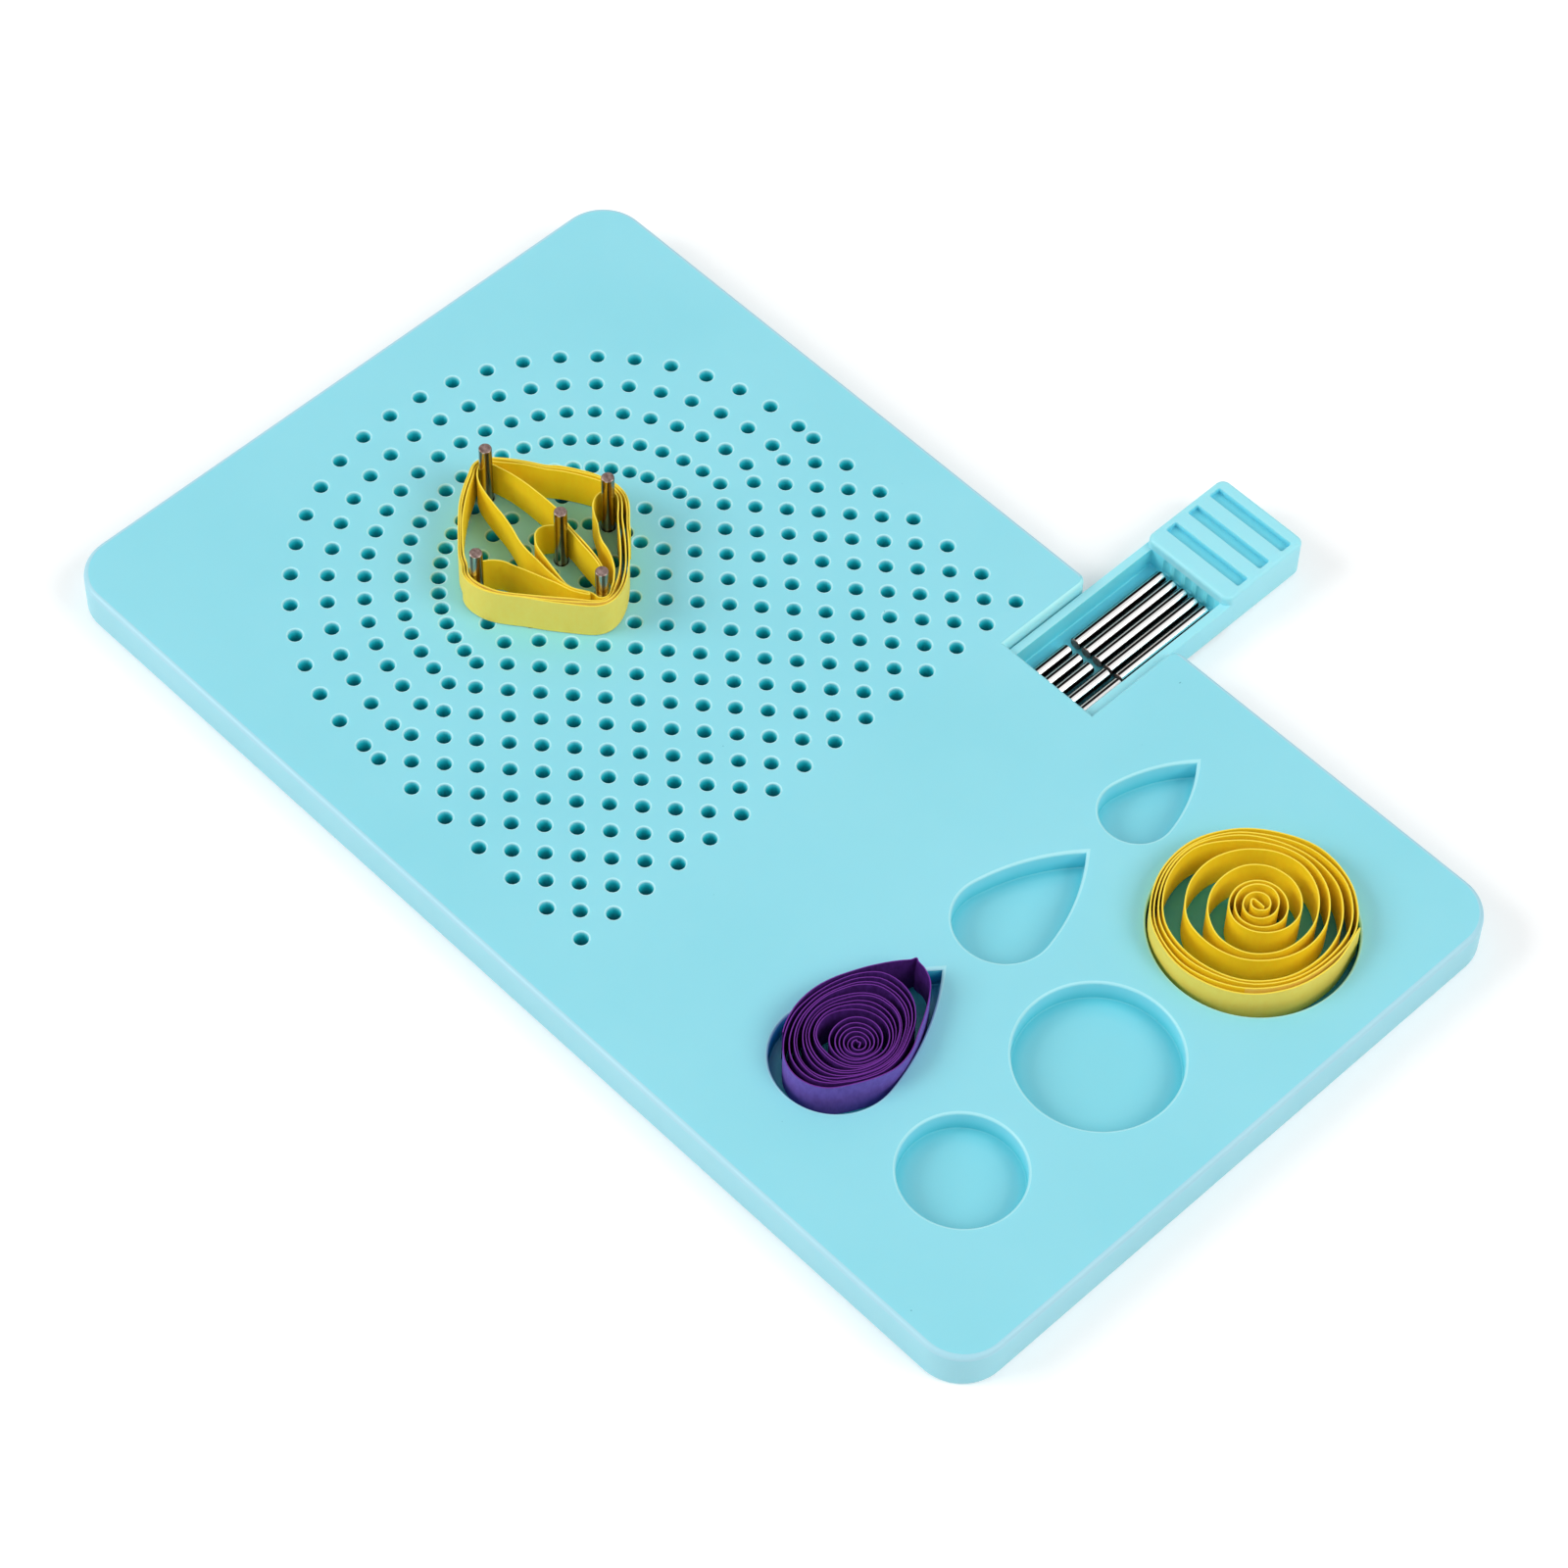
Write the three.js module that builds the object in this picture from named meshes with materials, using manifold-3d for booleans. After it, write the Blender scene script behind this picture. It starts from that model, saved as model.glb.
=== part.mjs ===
// A quilling board: a flat moulded board with a pattern of pin holes and six shallow moulds,
// a drawer that keeps spare steel pins, and three pieces of quilled paper at work on it.
// Millimetres, +Z up. The origin is on the underside, in the middle of the whole footprint with
// the drawer out. +X points to the moulds and +Y to the edge that the drawer slides out of.
// Places are worked out from the middle of the board, and the finished group is then moved.
import * as THREE from 'three';
import * as BufferGeometryUtils from 'three/addons/utils/BufferGeometryUtils.js';
import Module from 'manifold-3d';

const wasm = await Module();
wasm.setup();

// Board
const boardLength = 154;
const boardWidth = 90;
const boardThickness = 6;
const boardCornerRadius = 6;
const boardEdgeChamfer = 0.35;

// Pin holes: half rings round one centre, and a diamond lattice beside them
const holeDiameter = 1.8;
const ringCentreFromEnd = 45;
const ringStep = 4.5;
const ringCount = 8;
const innerRingHoleAngle = 30;
const latticeStart = 2.66;
const latticeColumnStep = 2.94;
const latticeColumns = 13;
const latticeRows = 15;

// Moulds
const mouldDepth = 3;
const circleDiameters = [25, 20, 15];
const circleGaps = [3.5, 4.6];
const circleColumnFromEnd = 18.8;
const firstCircleFromEdge = 10.6;
const dropLengths = [25, 20, 15];
const dropWidthShare = 0.615;
const dropSideShare = 1.4;
const dropGap = 4;
const dropColumnFromCircles = 20.6;
const firstDropFromEdge = 11.4;

// Pins
const pinDiameter = 1.65;
const pinLength = 15.5;
const pinEndChamfer = 0.25;
const pinFootGap = 0.05;

// Drawer
const handleWidth = 13.9;
const handleLength = 14;
const handleCornerRadius = 1.2;
const handleEdgeChamfer = 0.35;
const handleFootGap = 0.15;
const gripLength = 12.1;
const gripWidth = 1.8;
const gripDepth = 0.9;
const gripPitch = 3.93;
const gripCount = 3;
const firstGripFromEnd = 2.55;
const drawerTravel = 23.8;
const drawerFromRingCentre = 48.8;
const trayWall = 1.15;
const trayFloor = 1.2;
const trayFootGap = 0.5;
const trayLengthSlack = 2.3;
const tongueHeight = 1.2;
const tongueProud = 0.8;
const drawerSideGap = 0.3;
const drawerTopGap = 0.25;
const drawerEndGap = 0.5;
const skinOverDrawer = 1.1;
const mouthCornerRadius = 1.5;

// Stored pins: two rows of five, end to end
const storedPerRow = 5;
const storedSnugGap = 0.18;
const storedLooseGap = 0.4;
const storedFromSide = 1.95;
const storedFromHandle = 0.8;
const storedRowGap = 0.3;
const storedSlip = 0.8;
const storedLift = 0.05;

// Paper strips
const paperHeight = 5.5;
const paperThickness = 0.2;
const paperSeatGap = 0.1;
const layerStep = 0.66;
const wrapGap = 0.2;
const wrapStep = 0.76;
const leastPaperGap = 0.4;

// Round coil in the largest circle
const coilEyeRadius = 0.7;
const coilRimGap = 0.35;
const coilSlack = 0.45;
const coilLeanAngle = 160;
const coilTightTurns = 3.5;
const coilOpenTurns = 2.75;
const coilRimTurns = 2.5;
const coilStepsPerTurn = 20;
const coilEyeShift = new THREE.Vector2(-0.3, 1.2);
const coilEndAngle = 40;

// Drop coil in the largest drop
const dropCoilTipGap = 0.9;
const dropCoilSideGap = 0.95;
const dropCoilShift = -0.3;
const dropCoilSideRadius = 26;
const dropCoilReach = 14.4;
const dropCoilEyeShift = new THREE.Vector2(1.2, 1.4);
const dropCoilEyeRadius = 0.7;
const dropCoilTurns = 7;
const dropCoilStepsPerTurn = 24;
const dropCoilEndAngle = 97;

// Colours and surfaces
const boardColour = 0x8fdcea;
const steelColour = 0xb9b5b2;
const yellowColour = 0xf0cd28;
const purpleColour = 0x5a2882;

function surface(color, roughness, metalness) {
  return new THREE.MeshStandardMaterial({ color, roughness, metalness });
}

const boardPlastic = () => surface(boardColour, 0.45, 0);
const pinSteel = () => surface(steelColour, 0.2, 1);
const paper = (colour) => surface(colour, 0.8, 0);

const radians = THREE.MathUtils.degToRad;

// Solids

function toSolid(geometry) {
  const bare = geometry.clone();
  bare.deleteAttribute('normal');
  bare.deleteAttribute('uv');
  const merged = BufferGeometryUtils.mergeVertices(bare);
  const vertProperties = new Float32Array(merged.attributes.position.array);
  const triVerts = new Uint32Array(merged.index.array);
  return new wasm.Manifold(new wasm.Mesh({ numProp: 3, vertProperties, triVerts }));
}

function toGeometry(solid) {
  const mesh = solid.getMesh();
  const geometry = new THREE.BufferGeometry();
  geometry.setAttribute('position', new THREE.BufferAttribute(mesh.vertProperties, 3));
  geometry.setIndex(new THREE.BufferAttribute(mesh.triVerts, 1));
  geometry.computeVertexNormals();
  return geometry;
}

function extruded(shape, low, high, curveSegments = 6) {
  const depth = high - low;
  const geometry = new THREE.ExtrudeGeometry(shape, { depth, bevelEnabled: false, curveSegments });
  return geometry.translate(0, 0, low);
}

function block(x0, x1, y0, y1, z0, z1) {
  const geometry = new THREE.BoxGeometry(x1 - x0, y1 - y0, z1 - z0);
  return geometry.translate((x0 + x1) / 2, (y0 + y1) / 2, (z0 + z1) / 2);
}

function roundedRectangle(x0, x1, y0, y1, radius) {
  const shape = new THREE.Shape();
  shape.absarc(x1 - radius, y1 - radius, radius, 0, Math.PI / 2);
  shape.absarc(x0 + radius, y1 - radius, radius, Math.PI / 2, Math.PI);
  shape.absarc(x0 + radius, y0 + radius, radius, Math.PI, Math.PI * 1.5);
  shape.absarc(x1 - radius, y0 + radius, radius, Math.PI * 1.5, Math.PI * 2);
  return shape;
}

function chamferedSlab(shape, low, high, chamfer, curveSegments) {
  const geometry = new THREE.ExtrudeGeometry(shape, {
    depth: high - low - 2 * chamfer,
    bevelEnabled: true,
    bevelSegments: 1,
    bevelThickness: chamfer,
    bevelSize: chamfer,
    bevelOffset: -chamfer,
    curveSegments,
  });
  return geometry.translate(0, 0, low + chamfer);
}

// Pin holes

const ringCentre = new THREE.Vector2(ringCentreFromEnd - boardLength / 2, 0);
const outerRingRadius = ringStep * ringCount;

// The holes stay equally close as the rings grow: the angle between them halves each time
// that the radius doubles.
function ringHoleAngle(ring) {
  return innerRingHoleAngle / 2 ** Math.min(Math.floor(Math.log2(ring)), 2);
}

function ringHole(ring, angle) {
  const a = radians(angle);
  return new THREE.Vector2(Math.cos(a), Math.sin(a)).multiplyScalar(ring * ringStep).add(ringCentre);
}

function latticeHole(column, row) {
  const rowStep = (2 * outerRingRadius) / (latticeRows - 1);
  const halfRow = column % 2 ? 0.5 : 0;
  const x = latticeStart + column * latticeColumnStep;
  return new THREE.Vector2(x, (row + halfRow - (latticeRows - 1) / 2) * rowStep).add(ringCentre);
}

function holePlaces() {
  const places = [{ at: ringCentre, turn: 0 }];
  for (let ring = 1; ring <= ringCount; ring += 1) {
    const step = ringHoleAngle(ring);
    for (let k = 0; k <= Math.round(180 / step); k += 1) {
      const angle = 90 + k * step;
      places.push({ at: ringHole(ring, angle), turn: radians(angle) });
    }
  }
  for (let column = 0; column < latticeColumns; column += 1) {
    const rows = latticeRows - (column % 2);
    for (let row = 0; row < rows; row += 1) {
      places.push({ at: latticeHole(column, row), turn: 0 });
    }
  }
  return places;
}

// A hexagon drawn round the hole's circle, so that a round pin clears it all round.
function holeCutters() {
  const radius = holeDiameter / 2 / Math.cos(Math.PI / 6);
  const cutters = holePlaces().map(({ at, turn }) => {
    const geometry = new THREE.CylinderGeometry(radius, radius, boardThickness + 2, 6);
    geometry.rotateX(Math.PI / 2);
    geometry.rotateZ(turn);
    return geometry.translate(at.x, at.y, boardThickness / 2);
  });
  return toSolid(BufferGeometryUtils.mergeGeometries(cutters));
}

// Moulds

// A drop is a round end whose circle runs smoothly into two long arcs that meet at the tip.
function dropForm(length, width, sideRadius) {
  const endRadius = width / 2;
  const tip = length - endRadius;
  const reach = sideRadius - endRadius;
  const sine = (2 * sideRadius * endRadius - endRadius ** 2 - tip ** 2) / (2 * tip * reach);
  const joint = Math.asin(THREE.MathUtils.clamp(sine, -1, 1));
  return { endRadius, tip, sideRadius, reach, joint };
}

function dropRadius(form, angle) {
  const sine = Math.sin(angle);
  const cosine = Math.abs(Math.cos(angle));
  if (Math.atan2(sine, cosine) <= form.joint) {
    return form.endRadius;
  }
  const along = -form.reach * (Math.cos(form.joint) * cosine + Math.sin(form.joint) * sine);
  return along + Math.sqrt(along ** 2 - form.reach ** 2 + form.sideRadius ** 2);
}

function dropShape(form, centre, segments) {
  const points = [];
  for (let k = 0; k < segments; k += 1) {
    const angle = Math.PI / 2 + (k / segments) * 2 * Math.PI;
    const radius = dropRadius(form, angle);
    points.push(new THREE.Vector2(Math.cos(angle), Math.sin(angle)).multiplyScalar(radius).add(centre));
  }
  return new THREE.Shape(points);
}

const mouldFloor = boardThickness - mouldDepth;
const circleColumn = boardLength / 2 - circleColumnFromEnd;
const dropColumn = circleColumn - dropColumnFromCircles;

// The circles run from the drawer's edge inwards, largest first.
function circleCentres() {
  let edge = boardWidth / 2 - firstCircleFromEdge;
  return circleDiameters.map((diameter, k) => {
    const centre = new THREE.Vector2(circleColumn, edge - diameter / 2);
    edge -= diameter + (circleGaps[k] ?? 0);
    return centre;
  });
}

// The drops run the other way, largest first from the far edge, with their tips to the drawer's edge.
function dropCentres() {
  let edge = firstDropFromEdge - boardWidth / 2;
  return dropLengths.map((length) => {
    const centre = new THREE.Vector2(dropColumn, edge + (length * dropWidthShare) / 2);
    edge += length + dropGap;
    return centre;
  });
}

const circles = circleCentres();
const drops = dropCentres();
const circleSegments = 32;
const dropSegments = 32;

function mouldCutters() {
  const cutters = circles.map((centre, k) => {
    const radius = circleDiameters[k] / 2;
    const geometry = new THREE.CylinderGeometry(radius, radius, mouldDepth + 1, circleSegments);
    geometry.rotateX(Math.PI / 2);
    return geometry.translate(centre.x, centre.y, mouldFloor + (mouldDepth + 1) / 2);
  });
  drops.forEach((centre, k) => {
    const length = dropLengths[k];
    const form = dropForm(length, length * dropWidthShare, length * dropSideShare);
    cutters.push(extruded(dropShape(form, centre, dropSegments), mouldFloor, boardThickness + 1));
  });
  return cutters;
}

// Drawer, at rest in its photographed place, pulled out to its stop

const drawerX = ringCentre.x + drawerFromRingCentre;
const halfHandle = handleWidth / 2;
const halfChannel = halfHandle + drawerSideGap;
const handleEnd = boardWidth / 2 + drawerTravel;
const handleFace = handleEnd - handleLength;
const windowEnd = handleFace - drawerTravel - drawerEndGap;
const channelTop = boardThickness - skinOverDrawer;
const trayTop = channelTop - drawerTopGap;
const cavityLength = 2 * pinLength + trayLengthSlack;
const cavityTail = handleFace - cavityLength;
const trayTail = cavityTail - trayWall;
const cavityFloor = trayFootGap + trayFloor;
const channelEnd = trayTail - drawerTravel - drawerEndGap;
const tongueMiddle = (trayFootGap + trayTop) / 2;
const halfTongue = halfHandle + tongueProud;
const halfGroove = halfTongue + drawerSideGap;
const tongueFront = windowEnd - drawerSideGap;

// The window where the drawer leaves the board, rounded where it opens at the board's edge.
function windowShape() {
  const edge = boardWidth / 2;
  const left = drawerX - halfChannel;
  const right = drawerX + halfChannel;
  const radius = mouthCornerRadius;
  const shape = new THREE.Shape();
  shape.moveTo(left, windowEnd);
  shape.lineTo(right, windowEnd);
  shape.lineTo(right, edge - radius);
  shape.absarc(right + radius, edge - radius, radius, Math.PI, Math.PI / 2, true);
  shape.lineTo(right + radius, edge + 1);
  shape.lineTo(left - radius, edge + 1);
  shape.lineTo(left - radius, edge);
  shape.absarc(left - radius, edge - radius, radius, Math.PI / 2, 0, true);
  return shape;
}

function channelCutters() {
  const left = drawerX - halfChannel;
  const right = drawerX + halfChannel;
  const grooveLow = tongueMiddle - tongueHeight / 2 - drawerTopGap;
  const grooveHigh = tongueMiddle + tongueHeight / 2 + drawerTopGap;
  return [
    extruded(windowShape(), -1, boardThickness + 1, 4),
    block(left, right, channelEnd, windowEnd + 1, -1, channelTop),
    block(drawerX - halfGroove, drawerX + halfGroove, channelEnd, windowEnd, grooveLow, grooveHigh),
  ];
}

function boardGeometry() {
  const halfLength = boardLength / 2;
  const halfWidth = boardWidth / 2;
  const outline = roundedRectangle(-halfLength, halfLength, -halfWidth, halfWidth, boardCornerRadius);
  let solid = toSolid(chamferedSlab(outline, 0, boardThickness, boardEdgeChamfer, 8));
  for (const cutter of [...mouldCutters(), ...channelCutters()]) {
    solid = solid.subtract(toSolid(cutter));
  }
  return toGeometry(solid.subtract(holeCutters()));
}

function drawerGeometry() {
  const left = drawerX - halfHandle;
  const right = drawerX + halfHandle;
  const intoHandle = handleFace + handleCornerRadius;
  const outline = roundedRectangle(left, right, handleFace, handleEnd, handleCornerRadius);
  let solid = toSolid(chamferedSlab(outline, handleFootGap, boardThickness, handleEdgeChamfer, 4));
  solid = solid.add(toSolid(block(left, right, trayTail, intoHandle, trayFootGap, trayTop)));
  const tongueLow = tongueMiddle - tongueHeight / 2;
  const tongues = block(
    drawerX - halfTongue,
    drawerX + halfTongue,
    trayTail,
    tongueFront,
    tongueLow,
    tongueLow + tongueHeight,
  );
  solid = solid.add(toSolid(tongues));
  const cavity = block(
    left + trayWall,
    right - trayWall,
    cavityTail,
    handleFace,
    cavityFloor,
    boardThickness + 1,
  );
  solid = solid.subtract(toSolid(cavity));
  for (let k = 0; k < gripCount; k += 1) {
    const middle = handleEnd - firstGripFromEnd - k * gripPitch;
    const grip = block(
      drawerX - gripLength / 2,
      drawerX + gripLength / 2,
      middle - gripWidth / 2,
      middle + gripWidth / 2,
      boardThickness - gripDepth,
      boardThickness + 1,
    );
    solid = solid.subtract(toSolid(grip));
  }
  return toGeometry(solid);
}

// Pins

function pinGeometry() {
  const radius = pinDiameter / 2;
  const profile = [
    new THREE.Vector2(0, 0),
    new THREE.Vector2(radius - pinEndChamfer, 0),
    new THREE.Vector2(radius, pinEndChamfer),
    new THREE.Vector2(radius, pinLength - pinEndChamfer),
    new THREE.Vector2(radius - pinEndChamfer, pinLength),
    new THREE.Vector2(0, pinLength),
  ];
  return new THREE.LatheGeometry(profile, 8);
}

// The holes that hold the five pins of the paper shape being wound.
const standingPins = [
  ringHole(4, 180),
  ringHole(2, 120),
  ringHole(1, 180),
  latticeHole(1, 6),
  ringHole(3, 240),
];

function standingPinMeshes() {
  return standingPins.map((place, k) => {
    const mesh = new THREE.Mesh(pinGeometry(), pinSteel());
    mesh.name = `standing_pin_${k + 1}`;
    mesh.rotation.x = Math.PI / 2;
    mesh.position.set(place.x, place.y, pinFootGap);
    return mesh;
  });
}

// Each row lies along the tray. In the inner row the last two pins lie looser, and the first
// three have slipped a little towards the tail.
function storedPinMeshes() {
  const meshes = [];
  for (let row = 0; row < 2; row += 1) {
    let x = drawerX - halfHandle + trayWall + storedFromSide + pinDiameter / 2;
    for (let k = 0; k < storedPerRow; k += 1) {
      const loose = row === 1 && k >= 3;
      const slipped = row === 1 && k < 3;
      const slip = slipped ? storedSlip : 0;
      const end = handleFace - storedFromHandle - row * (pinLength + storedRowGap) - slip;
      x += loose ? storedLooseGap - storedSnugGap : 0;
      const mesh = new THREE.Mesh(pinGeometry(), pinSteel());
      mesh.name = `stored_pin_${row * storedPerRow + k + 1}`;
      mesh.position.set(x, end - pinLength, cavityFloor + storedLift + pinDiameter / 2);
      meshes.push(mesh);
      x += pinDiameter + storedSnugGap;
    }
  }
  return meshes;
}

// Paper

// The strip stands on edge, so its solid is the outline of its edge, drawn up to its height.
function stripGeometry(line, low) {
  const left = [];
  const right = [];
  line.forEach((point, k) => {
    const before = line[Math.max(k - 1, 0)];
    const after = line[Math.min(k + 1, line.length - 1)];
    const along = after.clone().sub(before).normalize();
    const across = new THREE.Vector2(-along.y, along.x).multiplyScalar(paperThickness / 2);
    left.push(point.clone().add(across));
    right.push(point.clone().sub(across));
  });
  return extruded(new THREE.Shape([...left, ...right.reverse()]), low, low + paperHeight);
}

function distanceToSegment(point, a, b) {
  const along = b.clone().sub(a);
  const share = THREE.MathUtils.clamp(point.clone().sub(a).dot(along) / along.lengthSq(), 0, 1);
  return point.distanceTo(a.clone().addScaledVector(along, share));
}

// The least gap between two stretches of one strip that lie side by side.
function leastGap(line) {
  const apart = 3 * (paperThickness + leastPaperGap);
  const run = [0];
  for (let k = 1; k < line.length; k += 1) {
    run.push(run[k - 1] + line[k].distanceTo(line[k - 1]));
  }
  let least = Infinity;
  for (let i = 0; i < line.length; i += 1) {
    for (let k = i + 1; k < line.length - 1; k += 1) {
      if (run[k] - run[i] > apart) {
        least = Math.min(least, distanceToSegment(line[i], line[k], line[k + 1]));
      }
    }
  }
  return least - paperThickness;
}

function stripMesh(name, line, low, colour) {
  const mesh = new THREE.Mesh(stripGeometry(line, low), paper(colour));
  mesh.name = name;
  console.log(`${name}: least gap between its layers ${leastGap(line).toFixed(2)} mm`);
  return mesh;
}

// The woven strip passes round the pins and is drawn by its places beside them.

const [tipPin, topPin, middlePin, basePin, lowPin] = standingPins;
const firstWrap = pinDiameter / 2 + wrapGap + paperThickness / 2;
const secondWrap = firstWrap + wrapStep;
const thirdWrap = secondWrap + wrapStep;

function beside(pin, angle, radius) {
  const a = radians(angle);
  return new THREE.Vector2(Math.cos(a), Math.sin(a)).multiplyScalar(radius).add(pin);
}

function round(pin, from, to, radius) {
  const steps = Math.max(2, Math.ceil(Math.abs(to - from) / 45));
  return Array.from({ length: steps + 1 }, (_, k) => beside(pin, from + ((to - from) * k) / steps, radius));
}

// A place between two pins, at a share of the way, moved to the left of that way.
function between(start, end, share, left) {
  const way = end.clone().sub(start);
  const side = new THREE.Vector2(-way.y, way.x).normalize();
  return start.clone().addScaledVector(way, share).addScaledVector(side, left);
}

function wovenLine() {
  const places = [
    // up to the top pin and back to the base pin
    beside(basePin, 120, 2.3),
    between(basePin, topPin, 0.42, -0.3),
    between(basePin, topPin, 0.68, 0.6),
    ...round(topPin, 205, 15, firstWrap + 0.1),
    between(topPin, basePin, 0.37, 1.5),
    between(topPin, basePin, 0.7, 1.5),
    ...round(basePin, 30, -135, firstWrap),
    // a loose loop round the middle pin
    between(basePin, middlePin, 0.35, 2.3),
    between(basePin, middlePin, 0.65, 3.2),
    beside(middlePin, -92, 3.6),
    beside(middlePin, -130, 3.2),
    beside(middlePin, -156, 2.5),
    beside(middlePin, 175, 1.7),
    beside(middlePin, 130, 1.3),
    beside(middlePin, 80, 1.2),
    between(middlePin, basePin, 0.3, 1.05),
    between(middlePin, basePin, 0.62, 0.8),
    // a fold beside the base pin, then out to the tip pin and back
    between(middlePin, basePin, 0.71, 1.15),
    between(middlePin, basePin, 0.6, 1.5),
    between(middlePin, basePin, 0.3, 1.8),
    beside(middlePin, 90, 1.95),
    between(tipPin, middlePin, 0.6, 2.3),
    between(tipPin, middlePin, 0.3, 1.9),
    ...round(tipPin, 80, 280, firstWrap),
    between(tipPin, middlePin, 0.3, -2.6),
    between(tipPin, middlePin, 0.6, -3.7),
    beside(middlePin, -92, 4.5),
    between(middlePin, basePin, 0.35, -3.85),
    between(middlePin, basePin, 0.56, -3.45),
    // a fold, then out to the low pin
    between(middlePin, basePin, 0.64, -3.75),
    between(middlePin, basePin, 0.55, -4.2),
    between(lowPin, basePin, 0.46, 1.5),
    beside(lowPin, 75, 3.5),
    beside(lowPin, 97, 2.6),
    beside(lowPin, 135, 1.6),
    ...round(lowPin, 180, 290, firstWrap),
    // once round all the pins
    between(lowPin, basePin, 0.25, -1.65),
    between(lowPin, basePin, 0.6, -1.7),
    ...round(basePin, -75, 25, secondWrap),
    between(basePin, topPin, 0.3, -2.2),
    between(basePin, topPin, 0.65, -2.2),
    ...round(topPin, 35, 135, secondWrap + 0.1),
    between(topPin, tipPin, 0.28, -2.5),
    between(topPin, tipPin, 0.55, -2.5),
    between(topPin, tipPin, 0.81, -2),
    ...round(tipPin, 115, 220, secondWrap),
    between(tipPin, lowPin, 0.38, -2.2),
    between(tipPin, lowPin, 0.65, -2.2),
    ...round(lowPin, 215, 295, secondWrap),
    // and half a lap more
    between(lowPin, basePin, 0.25, -2.45),
    between(lowPin, basePin, 0.6, -2.5),
    ...round(basePin, -70, 20, thirdWrap),
    between(basePin, topPin, 0.3, -3),
    between(basePin, topPin, 0.72, -3),
  ];
  const curve = new THREE.SplineCurve(places);
  return curve.getPoints(places.length * 2);
}

// The round coil is wound tight at its eye, opens out, and lies close again at the rim.
function roundCoilLine() {
  const turns = coilTightTurns + coilOpenTurns + coilRimTurns;
  const rimRadius = circleDiameters[0] / 2 - coilRimGap - coilSlack - paperThickness / 2;
  const lean = radians(coilLeanAngle);
  const middle = new THREE.Vector2(Math.cos(lean), Math.sin(lean)).multiplyScalar(coilSlack).add(circles[0]);
  const tightRadius = coilEyeRadius + coilTightTurns * layerStep;
  const openRadius = rimRadius - coilRimTurns * layerStep;
  const radiusAt = (turn) => {
    if (turn < coilTightTurns) {
      return coilEyeRadius + turn * layerStep;
    }
    const open = Math.min((turn - coilTightTurns) / coilOpenTurns, 1);
    const close = Math.max(turn - coilTightTurns - coilOpenTurns, 0);
    return tightRadius + (openRadius - tightRadius) * open + close * layerStep;
  };
  const line = [];
  const steps = Math.round(turns * coilStepsPerTurn);
  for (let k = 0; k <= steps; k += 1) {
    const turn = (k / steps) * turns;
    const angle = radians(coilEndAngle) + (turn - turns) * 2 * Math.PI;
    const open = THREE.MathUtils.clamp((turn - coilTightTurns) / coilOpenTurns, 0, 1);
    const centre = middle.clone().addScaledVector(coilEyeShift, 1 - open);
    line.push(new THREE.Vector2(Math.cos(angle), Math.sin(angle)).multiplyScalar(radiusAt(turn)).add(centre));
  }
  return line;
}

// The drop coil grows from a round eye to a drop that stops short of the mould's tip, and ends
// at the corner beside that tip.
function dropCoilLine() {
  const width = dropLengths[0] * dropWidthShare - 2 * dropCoilSideGap;
  const form = dropForm(dropLengths[0] - dropCoilTipGap - dropCoilSideGap, width, dropCoilSideRadius);
  const middle = new THREE.Vector2(dropCoilShift, 0).add(drops[0]);
  const line = [];
  const steps = dropCoilTurns * dropCoilStepsPerTurn;
  for (let k = 0; k <= steps; k += 1) {
    const share = k / steps;
    const angle = radians(dropCoilEndAngle) + (share - 1) * dropCoilTurns * 2 * Math.PI;
    const outer = Math.min(dropRadius(form, angle), dropCoilReach);
    const radius = THREE.MathUtils.lerp(dropCoilEyeRadius, outer, share);
    const point = new THREE.Vector2(Math.cos(angle), Math.sin(angle)).multiplyScalar(radius);
    line.push(point.addScaledVector(dropCoilEyeShift, 1 - share).add(middle));
  }
  return line;
}

const group = new THREE.Group();

const board = new THREE.Mesh(boardGeometry(), boardPlastic());
board.name = 'board';
group.add(board);

const drawer = new THREE.Mesh(drawerGeometry(), boardPlastic());
drawer.name = 'pin_drawer';
group.add(drawer);

group.add(...storedPinMeshes());
group.add(...standingPinMeshes());

const onBoard = boardThickness + paperSeatGap;
const inMould = mouldFloor + paperSeatGap;
group.add(stripMesh('woven_strip', wovenLine(), onBoard, yellowColour));
group.add(stripMesh('round_coil', roundCoilLine(), inMould, yellowColour));
group.add(stripMesh('teardrop_coil', dropCoilLine(), inMould, purpleColour));
group.position.y = -drawerTravel / 2;

export default group;
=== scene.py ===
# %% [markdown]
# # A quilling board with its drawer of pins and three pieces of quilled paper
#
# The model of the board is already built at its real size, as plain solids that move. This
# notebook gives it its looks: finer pieces are modelled over the solids, each piece gets a
# finish made of nodes, and a camera and soft lamps show it as in a product photograph.

import math

import bmesh
import bpy
import numpy as np
from mathutils import Euler, Matrix, Vector
from mathutils.kdtree import KDTree


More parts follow.
